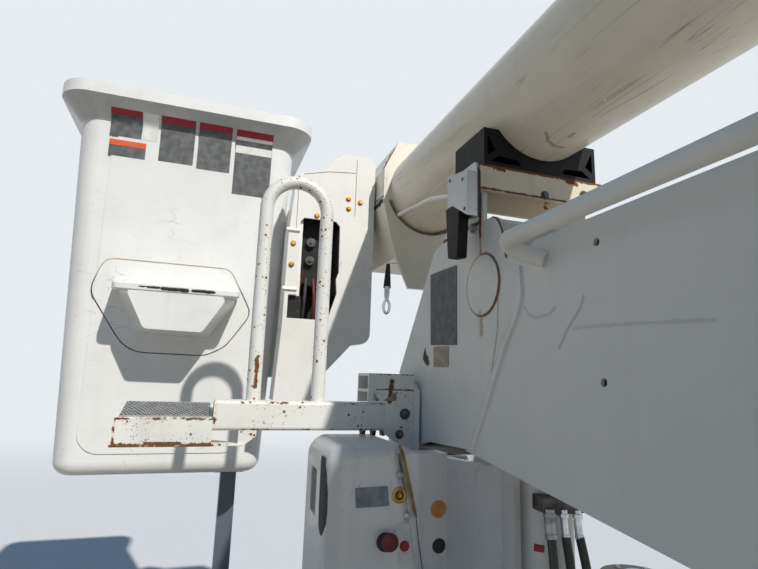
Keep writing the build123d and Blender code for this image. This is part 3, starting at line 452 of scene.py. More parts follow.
def root_rust(finish):
    side = root_side
    mask = ring_round(finish, (120, 1340), 61, 5, 7) * 0.6
    lobe = [(203, side, 1377), (195, side, 1415), (189, side, 1436), (176, side, 1457), (159, side, 1468)]
    mask = mask.most(near_path(finish, lobe, 4, 9))
    mask = mask.most(near_path(finish, [(111, side, 1536), (110, side, 1440)], 7, 7))
    mask = mask.most(near_path(finish, [(110, side, 1440), (112, side, 1404)], 8, 9) * 0.57)
    bead = [(150, side, 1388), (176, side, 1330), (172, side, 1250), (150, side, 1170)]
    mask = mask.most(near_path(finish, bead, 5, 7) * 0.56)
    mask = mask.most(near_path(finish, [(-60, side, 1470), (110, side, 1470)], 6, 10))
    mask = mask.most(near_path(finish, [(112, side, 1284), (114, side, 1246)], 15, 20) * 0.56)
    return mask


def boom_rust(finish):
    side = panel_side
    bead = [(80, side, 1027), (144, side, 1133), (195, side, 1218), (230, side, 1262), (240, side, 1350)]
    mask = near_path(finish, bead, 7, 12) * 0.5
    for x, z in ((760, 1290), (1100, 1180)):
        mask = mask.most(ring_round(finish, (x, z), 6, 2, 3) * 0.7)
    return mask


def boom_marks_and_dent_shade(finish):
    side = panel_side
    # The dent and the crease are thin dark arcs: painted shade of their relief. The last lines are scrapes.
    dent = [(266, side, 1279), (279, side, 1263), (295, side, 1257), (330, side, 1259), (347, side, 1268)]
    mask = near_path(finish, dent, 4, 3) * 0.26
    crease = [(352, side, 1206), (371, side, 1231), (402, side, 1261), (408, side, 1276)]
    mask = mask.most(near_path(finish, crease, 4, 4) * 0.32)
    lines = [(384, side, 1233), (505, side, 1229), (603, side, 1223)]
    return mask.most(near_path(finish, lines, 3.5, 7) * 0.2)


print("marks on the boom are placed")

# %% Wear of the saddle's bracket, the latch and the tip
bracket_front = 138


def saddle_rust(finish):
    front = bracket_front
    edges = [(front, -151, 1532), (front, -151, 1583), (front, 151, 1583)]
    mask = near_path(finish, edges, 8, 12)
    mask = mask.most(near_path(finish, [(front, -151, 1532), (front, 151, 1530)], 4, 9) * 0.8)
    spread = near_path(finish, [(front, -112, 1580), (front, -92, 1578)], 11, 18)
    spread = spread.most(near_path(finish, [(front, 62, 1578), (front, 84, 1574)], 11, 18))
    mask = mask.most(spread * 0.8)
    return mask.most(near_path(finish, [(front, 151, 1530), (front, 104, 1556)], 12, 20) * 0.62)


def latch_edge_rust(finish):
    return near_path(finish, [(150, -153, 1583), (150, -153, 1440)], 8, 6)


def collar_rust(finish):
    return near_path(finish, [(-528, -93, 1521), (-521, -47, 1521)], 9, 14)


def tube_scuffs(finish):
    """Dark rubs under the tube and long thin scratches along it."""
    curve = [(225, -53, 1625), (208, -35, 1618), (202, -15, 1614), (204, 0, 1613)]
    mask = near_path(finish, curve, 5, 7) * 0.55
    short = [(244, -16, 1614), (258, -16, 1614)]
    mask = mask.most(near_path(finish, short, 5, 6) * 0.5)
    low = finish.axis("Z").step(1700, 1630)
    flecks = finish.noise(70, 4, 0.7, (0.25, 1, 1)).step(0.62, 0.7) * 0.45
    long_lines = (finish.noise(46, 2, 0.4, (0.05, 1, 1)) - 0.5).size().step(0.014, 0.0) * 0.5
    patch = finish.noise(5, 3).step(0.48, 0.62)
    return mask.most((flecks + long_lines) * low * patch)


print("marks on the saddle, the latch and the tip are placed")

# %% Worn finishes of the booms
pale, paler = colour(236, 236, 232), colour(226, 227, 222)
cream, creamier = colour(240, 231, 212), colour(230, 220, 198)
collar_cream, collar_shade = colour(238, 232, 218), colour(228, 221, 205)
# The saddle bracket's cream tint is painted warm reflected light.
bracket_cream_warm_light, bracket_cream_warm_light_drift = colour(238, 230, 212), colour(226, 214, 190)
along_tube, across_tube = (0.04, 1, 1), (1, 1, 0.2)
own_finishes = {
    "boom_root": painted("root_paint", pale, paler, 0.12, 0.3, bare=root_rust),
    "lower_boom": painted("boom_paint", pale, paler, 0.08, 0.25, bare=boom_rust, marks=boom_marks_and_dent_shade),
    "saddle_bracket": painted("bracket_paint", bracket_cream_warm_light, bracket_cream_warm_light_drift, 0.3, 0.4, bare=saddle_rust),
    # The turret's paint is greyer than the other white paint: painted shade under the boom, with dirt.
    "turret": painted("turret_paint_greyed_as_shade", colour(204, 206, 208), colour(182, 186, 190), 0.15, 0.6),
    "tip_collar": moulded("collar_skin", collar_cream, collar_shade, across_tube, 1.0, 0.36, collar_rust),
    "upper_boom": moulded("tube_skin", cream, creamier, along_tube, 1.2, 0.36, tube_scuffs, 0.3),
}
own_finishes["latch_plate"] = bare_metal(
    "latch_plate", colour(176, 180, 184), 0.34, 0.2, 1.0, latch_edge_rust
)
own_finishes["hold_down_rod"] = bare_metal("rod_zinc", colour(196, 194, 188), 0.34, 0.15, 0.8)
print("worn pieces of the booms:", len(own_finishes))

# %% [markdown]
# The step is stood on and knocked most, so its edges are chipped down to brown steel. The
# chips are small dark spots, and rust spreads from the folds and from the handle's feet.

# %% Chips, and rust on the step's arm and tread
step_front = -178


def chips(finish, spread):
    """Small knocks through the paint, each with a rusty stain round it."""
    dots = finish.cells(62).step(0.34, 0.05)
    fine = finish.cells(150).step(0.3, 0.05)
    return dots.most(fine) * finish.noise(16, 3).step(0.62 - spread, 0.72 - spread)


def arm_rust(finish):
    front = step_front
    broken = finish.noise(24, 4, 0.6).step(0.4, 0.6)
    top = near_path(finish, [(front, -602, 1098), (front, -130, 1098)], 6, 24)
    low = near_path(finish, [(front, -602, 1037), (front, -130, 1037)], 4, 16)
    end = near_path(finish, [(front, -600, 1040), (front, -600, 1098)], 6, 20)
    return (top.most(low).most(end) * broken).most(chips(finish, 0.14))


def tread_rust(finish):
    front = step_front
    broken = finish.noise(30, 4, 0.6).step(0.36, 0.58)
    low = near_path(finish, [(front, -789, 1006), (front, -602, 1006)], 9, 24) * (broken * 0.45 + 0.55)
    top = near_path(finish, [(front, -789, 1060), (front, -602, 1060)], 4, 14) * broken
    ends = near_path(finish, [(front, -789, 1061), (front, -789, 1008)], 4, 12) * broken
    slot = near_path(finish, [(front, -728, 1011), (front, -664, 1011)], 5, 4)
    return low.most(top).most(ends).most(slot).most(chips(finish, 0.2))


print("rust on the step is placed")

# %% Rust on the handle and the step's bracket
def handle_rust(finish):
    mask = near_path(finish, [(-209.5, -520, 1099), (-209.5, -520, 1112)], 20, 26) * 0.9
    mask = mask.most(near_path(finish, [(-209.5, -374, 1099), (-209.5, -374, 1108)], 20, 26) * 0.8)
    mask = mask.most(near_path(finish, [(-194, -518, 1130), (-194, -518, 1192)], 8, 22) * 0.72)
    return mask.most(chips(finish, 0.2))


def bracket_rust(finish):
    front = step_front + 4
    mask = near_path(finish, [(front, -243, 1130), (front, -130, 1130)], 4, 10) * 0.62
    mask = mask.most(near_path(finish, [(front, -135, 1170), (front, -135, 1020)], 8, 22) * 0.8)
    mask = mask.most(near_path(finish, [(front, -243, 1168), (front, -130, 1168)], 5, 20) * 0.8)
    mask = mask.most(near_path(finish, [(front, -205, 1150), (front, -210, 1102)], 10, 12) * 0.72)
    return mask.most(chips(finish, 0.14))


own_finishes["step_arm"] = painted("arm_paint", pale, paler, 0.16, 0.3, bare=arm_rust)
own_finishes["step_tread"] = painted("tread_paint", pale, paler, 0.24, 0.4, bare=tread_rust)
own_finishes["grab_handle"] = painted("handle_paint", pale, paler, 0.1, 0.2, bare=handle_rust)
own_finishes["step_bracket"] = painted("step_bracket_paint", pale, paler, 0.22, 0.4, bare=bracket_rust)
print("worn pieces:", ", ".join(own_finishes))

# %% [markdown]
# The bucket's skin is rubbed dark along its left edge and on the pocket's lip, where boots
# scrape, and faces under its rim are darkened with painted shade and some dirt. The control
# cover is dusty on top, and its side panel beside it is darkened as painted shade. They keep
# the recipe of their slots, with a mask of their own.

# %% Rubbed skins, with painted shade under the rim and on the cover's side panel
def lip_rubbing(finish):
    mask = near_path(finish, [(-530, -740, 1397), (-530, -716, 1396)], 3, 8) * 0.7
    for start, end, width in ((-812, -800, 2), (-790, -764, 5), (-754, -692, 6), (-666, -622, 6)):
        mask = mask.most(near_path(finish, [(-517, start, 1380), (-516, end, 1380)], width, 7))
    return mask


def bucket_rubbing_and_rim_shade(finish):
    edge = near_path(finish, [(-700, -1008, 900), (-705, -1030, 1500), (-690, -1040, 1890)], 22, 60)
    flecks = finish.noise(60, 5, 0.75).step(0.6, 0.7)
    dots = finish.cells(9).step(0.03, 0.01)
    # Faces that look down under the rim are darkened: painted shade, with some dirt.
    under = finish.facing("Z").step(-0.25, -0.6) * finish.axis("Z").step(1885, 1900)
    under = under * (finish.noise(5, 4).step(0.3, 0.7) * 0.2 + 0.36)
    return (edge * flecks * 0.6).most(dots * 0.5).most(under)


def cover_dust_and_shade(finish):
    top = finish.facing("Z").step(0.0, 0.6) * 0.1
    # The part of the cover towards the turret's side panel is darkened: painted shade.
    top = top.most(finish.axis("Y").step(-213, -196) * 0.3)
    edge = near_path(finish, [(-10, -391, 760), (-10, -391, 1000)], 40, 30) * 0.22
    scratch = near_path(finish, [(-8, -119, 953), (-8, -82, 937)], 2, 2) * 0.6
    return top.most(edge).most(scratch)


bucket_white, bucket_shade = colour(240, 240, 238), colour(230, 231, 229)
cover_white, cover_shade = colour(238, 238, 236), colour(228, 229, 227)
level_stretch, cover_stretch = (1, 0.2, 1), (1, 1, 0.3)
bucket_skin = moulded("bucket_skin", bucket_white, bucket_shade, level_stretch, 0.6, marks=bucket_rubbing_and_rim_shade)
pocket_skin = moulded("pocket_skin", bucket_white, bucket_shade, level_stretch, 1.0, marks=lip_rubbing, dirt=0.3)
own_finishes["bucket"] = bucket_skin
own_finishes["bucket_pocket"] = pocket_skin
own_finishes["control_cover"] = moulded(
    "cover_skin", cover_white, cover_shade, cover_stretch, 0.6, 0.34, cover_dust_and_shade, 0.3
)
print("pieces with wear of their own:", len(own_finishes))

# %% [markdown]
# The record says which slot each piece of the frame belongs to. Going through that list
# gives every CAD piece the finish of its slot, or its own worn finish where it has one.

# %% Finishes go on the CAD pieces by their slots
for entry in frame["record"]["subparts"]:
    node = frame["nodes"][entry["node"]]
    node.data.materials.clear()
    node.data.materials.append(own_finishes.get(entry["node"], finishes[entry["material_slot"]]))
print(len(frame["nodes"]), "CAD pieces have a finish")

# %% [markdown]
# The small pieces, such as bolts, plates and hoses, are meshes built in code. Most of them
# sit on a face, so `on_face` gives a matrix whose x runs across that face, y up it and z
# out of it, and `Piece` collects the skin in millimetres. Rings of points that are joined
# one to the next make nearly everything: a slab is two rings, a bolt a few more.

# %% Building pieces
def on_face(origin, across, up):
    across = Vector(across).normalized()
    out = across.cross(Vector(up)).normalized()
    turned = Matrix((across, out.cross(across), out)).transposed().to_4x4()
    return Matrix.Translation(Vector(origin)) @ turned


def rounded(corners, radius, steps=5):
    """An outline with its corners cut back by radius and rounded."""
    outline = []
    for before, corner, after in zip(corners[-1:] + corners[:-1], corners, corners[1:] + corners[:1]):
        corner = Vector(corner)
        back = (Vector(before) - corner).normalized() * radius
        ahead = (Vector(after) - corner).normalized() * radius
        for i in range(steps + 1):
            share = i / steps
            outline.append(corner + back * (1 - share) ** 2 + ahead * share ** 2)
    return outline


class Piece:
    """A mesh while it is being built, in millimetres."""

    def __init__(self, place=None):
        self.shape = bmesh.new()
        self.place = place or Matrix()

    def skin(self, rings, capped=True):
        """Joins rings of points into one surface, with an end on the first and the last."""
        rows = [[self.shape.verts.new(self.place @ Vector(point)) for point in ring] for ring in rings]
        count = len(rows[0])
        for near, far in zip(rows, rows[1:]):
            for i in range(count):
                j = (i + 1) % count
                self.shape.faces.new((near[i], near[j], far[j], far[i]))
        if capped:
            self.shape.faces.new(rows[0])
            self.shape.faces.new(rows[-1])

    def slab(self, outline, low, high):
        self.skin([[(x, y, level) for x, y in outline] for level in (low, high)])

    def turned(self, profile, centre=(0, 0), sides=24, twist=0.0):
        """Rings of (radius, height) round a point of the face."""
        angles = [twist + 2 * math.pi * i / sides for i in range(sides)]
        rings = []
        for radius, height in profile:
            rings.append([
                (centre[0] + radius * math.cos(angle), centre[1] + radius * math.sin(angle), height)
                for angle in angles
            ])
        self.skin(rings)

    def bolt(self, centre, size, twist=0.3):
        """A washer, a hexagon head with a chamfer, and the end of the thread."""
        self.turned([(size * 1.15, 0), (size * 1.15, size * 0.18), (size * 0.9, size * 0.2)], centre)
        head = [(size * 0.9, size * 0.2), (size * 0.9, size * 0.7), (size * 0.74, size * 0.85)]
        self.turned(head, centre, 6, twist)

    def bar(self, path, radius, sides=12, closed=False):
        """A round bar along a line of points."""
        line = [Vector(point) for point in path]
        count = len(line)
        side = None
        rings = []
        for i, point in enumerate(line):
            if closed:
                heading = line[(i + 1) % count] - line[i - 1]
            else:
                heading = line[min(i + 1, count - 1)] - line[max(i - 1, 0)]
            heading.normalize()
            side = heading.orthogonal() if side is None else side - heading * side.dot(heading)
            side.normalize()
            other = heading.cross(side)
            ring = []
            for k in range(sides):
                angle = 2 * math.pi * k / sides
                ring.append(point + (side * math.cos(angle) + other * math.sin(angle)) * radius)
            rings.append(ring)
        if closed:
            rings.append(rings[0])
        self.skin(rings, not closed)

    def keep(self, name, body, material, edge=0.0, smooth=35):
        """Turns the mesh into a piece, which rides on a body where one is named."""
        bmesh.ops.remove_doubles(self.shape, verts=self.shape.verts, dist=0.001)
        bmesh.ops.recalc_face_normals(self.shape, faces=self.shape.faces)
        bmesh.ops.scale(self.shape, vec=(mm, mm, mm), verts=self.shape.verts)
        mesh = bpy.data.meshes.new(name)
        self.shape.to_mesh(mesh)
        self.shape.free()
        mesh.materials.append(material)
        for face in mesh.polygons:
            face.use_smooth = True
        mesh.set_sharp_from_angle(angle=math.radians(smooth))
        made = bpy.data.objects.new(name, mesh)
        scene.collection.objects.link(made)
        if edge:
            rounding = made.modifiers.new("edge", "BEVEL")
            rounding.width = edge * mm
            rounding.segments = 2
            rounding.limit_method = "ANGLE"
            rounding.angle_limit = math.radians(40)
        if body:
            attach(made, body)
        return made


print("piece helpers ready")

# %% [markdown]
# Bolts, plates and hoses need finishes of their own. They are small, so each gets a base
# colour with a soft drift, a little dirt, and a roughness that varies. One function makes
# them, and a table names them.

# %% Finishes of the small pieces
def small_finish(name, base, shade, roughness, metallic=0.0, dirt=0.25, grain=200):
    finish = Finish(name)
    tone = finish.mix(base, shade, finish.noise(45, 4).step(0.35, 0.7))
    tone = finish.mix(tone, dirt_colour, finish.noise(120, 4, 0.65).step(0.55, 0.75) * dirt)
    finish.set("Base Color", tone)
    finish.set("Metallic", metallic)
    finish.set("Roughness", finish.noise(90, 3) * 0.2 + roughness)
    finish.bump(finish.noise(grain, 3), 0.12, 0.3)
    return finish.material


small = {
    "brass_bolt": small_finish("brass_bolt", colour(200, 160, 78), colour(150, 110, 52), 0.35, 0.7, 0.4),
    "dark_bolt": small_finish("dark_bolt", colour(92, 94, 96), colour(66, 60, 54), 0.5, 0.6, 0.5),
    "grey_bolt": small_finish("grey_bolt", colour(168, 172, 176), colour(128, 130, 130), 0.4, 0.7),
    "dark_print": small_finish("dark_print", colour(74, 76, 78), colour(104, 106, 108), 0.5, 0, 0.5),
    "pale_print": small_finish("pale_print", colour(232, 232, 228), colour(216, 217, 214), 0.5),
    "red_print": small_finish("red_print", colour(152, 36, 52), colour(132, 32, 44), 0.45),
    "orange_print": small_finish("orange_print", colour(226, 96, 46), colour(206, 84, 40), 0.45),
    "grey_print": small_finish("grey_print", colour(142, 148, 156), colour(116, 121, 128), 0.5, 0, 0.4),
    # black_and_painted_shade is the black of small parts, and of sheets that stand in for shade in openings.
    "black_and_painted_shade": small_finish("black_and_painted_shade", colour(24, 24, 25), colour(34, 33, 32), 0.7),
    "hose_skin": small_finish("hose_skin", colour(40, 41, 43), colour(58, 58, 58), 0.5, 0, 0.35, 400),
    "red_skin": small_finish("red_skin", colour(104, 40, 36), colour(76, 34, 32), 0.5),
    "sealant": small_finish("sealant", colour(168, 144, 100), colour(118, 96, 62), 0.7, 0, 0.6),
    "amber_cap": small_finish("amber_cap", colour(206, 132, 74), colour(186, 112, 60), 0.45, 0, 0.4),
    "seam_shade": small_finish("seam_shade", colour(166, 164, 156), colour(140, 137, 128), 0.6),
    # worn_black_and_shade is worn black, and the painted shade behind the tread's mesh.
    "worn_black_and_shade": small_finish("worn_black_and_shade", colour(34, 30, 26), colour(62, 52, 42), 0.8),
    "window_grey": small_finish("window_grey", colour(66, 70, 62), colour(52, 56, 50), 0.4),
    "pale_steel": small_finish("pale_steel", colour(222, 224, 226), colour(190, 194, 198), 0.25, 0.8, 0.2),
    "groove_dirt": small_finish("groove_dirt", colour(72, 66, 56), colour(112, 102, 84), 0.8),
    "paper_print": small_finish("paper_print", colour(178, 166, 154), colour(146, 132, 118), 0.6, 0, 0.5),
}
print("small finishes:", len(small))

# %% [markdown]
# The bucket's front carries a row of thin blank plates, each a dark or pale field, most
# with a coloured band along the top. The wall slopes and then flares out under the rim, so
# each plate is a stack of thin rows that follow `front_of_bucket`.

# %% The bucket's front panel
bucket_floor = 863
flare_start = 1893
flare_end = 1953
front_foot = -682
front_mouth = -643
front_rim = -587.5
panel_relief = 3
bucket_middle = -722


def front_of_bucket(height):
    """How far forward the bucket's front panel stands at a height."""
    if height < flare_start:
        share = (height - bucket_floor) / (flare_start - bucket_floor)
        return front_foot + share * (front_mouth - front_foot) + panel_relief
    share = (height - flare_start) / (flare_end - flare_start)
    return max(front_mouth + panel_relief, front_mouth + share * (front_rim - front_mouth))


print("front panel leans", front_mouth - front_foot, "mm")

# %% Blank plates on the bucket
def bucket_plate(name, left, right, bottom, top, finish_name, level=0.0):
    plate = Piece()
    thick = 1.2
    rows = 9
    rings = []
    for i in range(rows + 1):
        height = bottom + (top - bottom) * i / rows
        back = front_of_bucket(height) + level - thick / 2
        front = back + thick
        rings.append([(front, left, height), (front, right, height), (back, right, height), (back, left, height)])
    plate.skin(rings)
    plate.keep(name, "bucket", small[finish_name], 0.3)


bucket_plates = [
    ("plate_a", -956, -869, 1850, 1925, "dark_print", 0.0),
    ("plate_a_band", -956, -869, 1912, 1926, "red_print", 0.8),
    ("plate_b", -868, -823, 1850, 1925, "pale_print", 0.0),
    ("plate_c", -954, -853, 1788, 1838, "dark_print", 0.0),
    ("plate_c_band", -954, -853, 1821, 1839, "orange_print", 0.8),
    ("plate_d", -816, -716, 1792, 1925, "dark_print", 0.0),
    ("plate_d_band", -816, -716, 1909, 1926, "red_print", 0.8),
    ("plate_e", -705, -605, 1785, 1925, "dark_print", 0.0),
    ("plate_e_band", -705, -605, 1911, 1926, "red_print", 0.8),
    ("plate_f", -592, -476, 1720, 1924, "dark_print", 0.0),
    ("plate_f_field", -591, -477, 1858, 1909, "pale_print", 0.8),
    ("plate_f_band", -592, -476, 1908, 1925, "red_print", 0.8),
]
for row in bucket_plates:
    bucket_plate(*row)
print("plates on the bucket:", len(bucket_plates))

# %% [markdown]
# The step pocket is a separate moulding set in the front panel. Its seam is a fine groove,
# so a thin bead lies in it, dark up to the lip and paler above it. The pocket's top edge is
# a thick rolled lip, which is a slab with a rounded outline and soft edges, and boots have
# worn four dark patches in it.

# %% Pocket seam
lean = math.atan((front_mouth - front_foot) / (flare_start - bucket_floor))
up_wall = Vector((math.sin(lean), 0, math.cos(lean)))
wall_face = on_face((front_foot, bucket_middle, bucket_floor), (0, 1, 0), up_wall)
seam_corners = [(-238, 516), (-206, 616), (148, 616), (222, 480), (151, 373), (96, 344), (-99, 346), (-141, 372)]
seam = Piece(wall_face)
seam_line = [(point.x, point.y, panel_relief - 0.8) for point in rounded(seam_corners, 34, 6)]
seam.bar(seam_line, 1.5, 6, True)
groove = Finish("pocket_groove")
upper_run = groove.axis("Z").step(1395, 1440)
groove.set("Base Color", groove.mix(colour(62, 58, 52), colour(196, 176, 154), upper_run))
groove.set("Roughness", groove.noise(90, 3) * 0.2 + 0.7)
seam.keep("pocket_seam", "bucket", groove.material)
print("seam corners:", len(seam_corners))

# %% Pocket lip
lip_depth = 146
lip = Piece(wall_face)
lip_plan = rounded([(-176, 2), (-158, lip_depth), (173, lip_depth), (180, 2)], 20, 6)
lip_rings = []
for height, inset in ((511, 5), (515, 0), (530, 0), (534, 5)):
    ring = []
    for point in lip_plan:
        rise = (lip_depth - point.y) * 0.08
        ring.append((point.x * (1 - inset / 170), height + rise, max(point.y - inset, 2)))
    lip_rings.append(ring)
lip.skin(lip_rings)
lip.keep("pocket_lip", "bucket", pocket_skin, 2.0, 50)
print("lip depth:", lip_depth, "mm")

# %% Worn patches of the lip
wear_random = random.Random(3)
wear = Piece(on_face((-516, 0, 0), (0, 1, 0), (0, 0, 1)))
lip_patches = [
    (-812, -795, 1382, 1380), (-790, -760, 1382, 1378),
    (-755, -688, 1382, 1374), (-676, -618, 1382, 1375),
]
for start, end, top, low in lip_patches:
    middle = (top + low) / 2
    steps = max(3, round((end - start) / 7))
    across_lip = [start + (end - start) * i / steps for i in range(steps + 1)]
    wear_top = [(y, top + wear_random.uniform(-0.8, 1.5)) for y in across_lip]
    wear_low = [(y, low + wear_random.uniform(-1.5, 1.0)) for y in across_lip]
    wear.slab([(start - 4, middle)] + wear_top + [(end + 4, middle)] + wear_low[::-1], -0.4, 0.5)
wear.keep("lip_wear", "bucket", small["worn_black_and_shade"])
print("worn patches:", len(lip_patches))

# %% [markdown]
# The step's tread is expanded metal: a sheet that was slit and pulled into diamonds. Two
# sets of thin strips that cross make that pattern over a dark backing, which is painted
# shade seen through the holes, and each strip is cut where it meets the edge of the tread.
# A flat gusset ties the tread to the arm, and a rib stiffens the arm beside it.

# %% Tread face and its backing
tread_origin = (-178, -789, 1061)
tread_slope = Vector((-112, 0, 26))
tread_face = on_face(tread_origin, (0, 1, 0), tread_slope)
tread_width = 187
tread_length = tread_slope.length
margin = 6
# The backing's black is painted shade seen through the mesh's holes.
backing = Piece(tread_face)
far_side, far_end = tread_width - margin, tread_length - 4
backing.slab([(margin, 4), (far_side, 4), (far_side, far_end), (margin, far_end)], -0.4, 0.5)
backing.keep("tread_backing", "turret", small["worn_black_and_shade"])
print("tread length:", round(tread_length), "mm")

# %% Tread mesh
grip = Piece(tread_face)
pitch = 9
tilt = 0.55
strip_half = 1.0


def mesh_strip(start, lean_x):
    """One strip of the mesh, cut at the sides of the tread."""
    ends = []
    for y in (margin, tread_length - margin):
        ends.append(Vector((start + lean_x * (y - tread_length / 2) * tilt, y)))
    near, far = ends
    run = far - near
    shares = [0.0, 1.0]
    for limit in (margin, tread_width - margin):
        shares.append((limit - near.x) / run.x)
    inside = sorted(share for share in shares if 0 <= share <= 1)
    kept = [share for share in inside if margin - 0.1 <= near.x + run.x * share <= tread_width - margin + 0.1]
    if len(kept) < 2:
        return
    a, b = near + run * kept[0], near + run * kept[-1]
    if (b - a).length > 4:
        near_edge = [(a.x - strip_half, a.y), (a.x + strip_half, a.y)]
        far_edge = [(b.x + strip_half, b.y), (b.x - strip_half, b.y)]
        grip.slab(near_edge + far_edge, 0.2, 2.2 + lean_x * 0.3)


for lean_x in (-1, 1):
    for k in range(-4, 26):
        mesh_strip(k * pitch, lean_x)
for y in (margin - 3, tread_length - margin - 1):
    grip.slab([(margin, y), (far_side, y), (far_side, y + 4), (margin, y + 4)], -0.3, 2.8)
grip.keep("tread_mesh", "turret", small["pale_steel"])
print("mesh pitch:", pitch, "mm")

# %% Gusset and rib
gusset = Piece(on_face((0, 0, 1004.5), (1, 0, 0), (0, 1, 0)))
gusset.slab([(-178.5, -604), (-178.5, -534), (-196, -534), (-262, -604)], 0, 4.5)
gusset.keep("tread_gusset", "turret", own_finishes["step_tread"], 0.6)
rib = Piece(on_face((-182, 0, 0), (0, 1, 0), (0, 0, 1)))
rib.slab([(-548, 1006), (-534, 1006), (-510, 1024), (-510, 1038), (-548, 1038)], -5, 0)
rib.keep("arm_rib", "turret", own_finishes["step_tread"], 0.6)
print("step stiffened")

# %% [markdown]
# The control cover carries the lower controls: a mushroom stop, a red button, a round
# gauge, two screws and three blank plates. Each round one is a profile turned about its
# own centre. A bead of old sealant runs down the joint between the cover and the turret's
# side panel.

# %% Blank plates on the cover
cover_front = on_face((0, 0, 0), (0, 1, 0), (0, 0, 1))


def face_plate(name, face, corners, body, finish_name, thick=1.2, round_by=3):
    plate = Piece(face)
    plate.slab(rounded([Vector(corner) for corner in corners], round_by, 3), -0.4, thick)
    plate.keep(name, body, small[finish_name], 0.3)


cover_plates = [
    ("cover_plate_large", [(-338, 948), (-335, 912), (-268, 913), (-272, 950)], "grey_print"),
    ("cover_plate_upper", [(-257, 880), (-254, 851), (-223, 851), (-226, 880)], "pale_print"),
    ("cover_plate_lower", [(-250, 827), (-247, 804), (-216, 804), (-219, 827)], "pale_print"),
]
for name, corners, finish_name in cover_plates:
    face_plate(name, cover_front, corners, "turret", finish_name)
print("plates on the cover:", len(cover_plates))

# %% Gauge and screws
gauge_centre = (-248, 932)
gauge = Piece(cover_front)
gauge.turned([(15, -1), (15, 3), (12.5, 4.5), (12, 2.5), (0.5, 2.5)], gauge_centre, 32)
gauge.keep("gauge_rim", "turret", small["brass_bolt"])
dial = Piece(cover_front)
dial.turned([(9.5, 2), (9.5, 3), (8.5, 3.4), (0.5, 3.4)], gauge_centre, 28)
dial.keep("gauge_dial", "turret", small["groove_dirt"])
pointer = Piece(cover_front)
pointer.turned([(4, 3), (3.4, 6), (0.5, 6.4)], gauge_centre, 16)
pointer.slab([(-249.2, 932), (-246.8, 932), (-247.5, 940), (-248.5, 940)], 3.2, 4.2)
pointer.keep("gauge_pointer", "turret", small["brass_bolt"])
screws = Piece(cover_front)
for centre in ((-247, 969), (-230, 893)):
    screws.turned([(7, -0.5), (7, 1.6), (5.6, 3.4), (2.4, 4.2), (2.2, 3.0), (0.4, 3.0)], centre, 20)
screws.keep("cover_screws", "turret", small["grey_bolt"])
print("gauge at", gauge_centre)

# %% Stop and button
stop_base = Piece(cover_front)
stop_base.turned([(17, -1), (17, 5), (14, 8), (9, 9), (9, 14), (0.5, 14)], (-275, 849), 32)
stop_base.keep("stop_base", "turret", small["black_and_painted_shade"])
mushroom = Piece(cover_front)
mushroom.turned([(9, 12), (15, 15), (17, 20), (15.5, 25), (10, 28), (0.5, 29)], (-272, 853), 32)
mushroom.keep("stop_mushroom", "turret", small["red_skin"])
button = Piece(cover_front)
button.turned([(9.5, -0.5), (9.5, 3), (8, 3.4), (7.6, 6.5), (0.5, 7)], (-235, 839), 24)
button.keep("red_button", "turret", small["red_print"])
print("stop and button placed")

# %% Sealant and joint of the cover
sealant = Piece()
bead_rings = []
for x, y, z, half in (
    (3, -250, 1026, 4), (2, -242, 1008, 5), (1.5, -236, 985, 4.6), (1.5, -228, 955, 5),
    (1.5, -222, 932, 4.4), (1, -216, 910, 4), (0.5, -211, 890, 2.4),
):
    bulge = [(x, y - half, z), (x + 2, y - half * 0.6, z), (x + 2.4, y + half * 0.5, z)]
    bead_rings.append(bulge + [(x - 7, y + half, z), (x - 8, y, z)])
sealant.skin(bead_rings)
sealant.keep("cover_sealant", "turret", small["sealant"], 0, 60)
joint = Piece()
joint.bar([(0.4, -212, 892), (0, -206, 848), (-0.4, -196.5, 797), (-0.6, -190, 740)], 1.1, 6)
joint.keep("cover_joint", "turret", small["worn_black_and_shade"])
print("sealant rows:", len(bead_rings))

# %% [markdown]
# The cover's outer side has a tall dark grip opening that runs into its rounded edge, and a
# tinted window. The opening is a thin black skin, painted shade of its inside, that follows
# the edge's curve row by row, so it lies on the cover wherever it is seen from. A black mat
# on the turret's top is painted shade: it makes the gap under the boom's root dark.

# %% Grip opening, a skin of painted shade
cover_outer = -391
cover_fillet = 26


def cover_side(x):
    """The cover's outer side, which turns in with a fillet at its front."""
    if x < -cover_fillet:
        return cover_outer
    return cover_outer + cover_fillet - math.sqrt(cover_fillet ** 2 - (x + cover_fillet) ** 2)


grip_opening = Piece()
opening_rows = []
for height, rear, ahead in (
    (1000, -62, -38), (992, -66, -28), (975, -66, -19), (940, -66, -13),
    (905, -66, -12), (882, -64, -14), (866, -58, -22), (857, -48, -34),
):
    across = [rear + (ahead - rear) * i / 8 for i in range(9)]
    skin_out = [(x, cover_side(x) - 0.7, height) for x in across]
    skin_in = [(x, cover_side(x) + 0.6, height) for x in across]
    opening_rows.append(skin_out + skin_in[::-1])
grip_opening.skin(opening_rows)
grip_opening.keep("grip_opening", "turret", small["black_and_painted_shade"])
print("grip opening rows:", len(opening_rows))

# %% Window, and a mat of painted shade
tinted = Piece(on_face((0, -387, 0), (1, 0, 0), (0, 0, 1)))
tinted.slab(rounded([Vector(c) for c in ((-153, 883), (-102, 879), (-102, 963), (-153, 965))], 4), -0.4, 1.5)
tinted.keep("cover_window", "turret", small["window_grey"], 0.3)
mat = Piece(on_face((0, 0, 984), (1, 0, 0), (0, 1, 0)))
mat.slab(rounded([Vector(c) for c in ((-338, -112), (-150, -112), (-150, 112), (-338, 112))], 12), -0.4, 2)
mat.slab([(-340, -112), (-334, -112), (-334, 112), (-340, 112)], -0.4, 22)
mat.keep("turret_shade_mat", "turret", small["black_and_painted_shade"], 0.5)
print("window and mat placed")

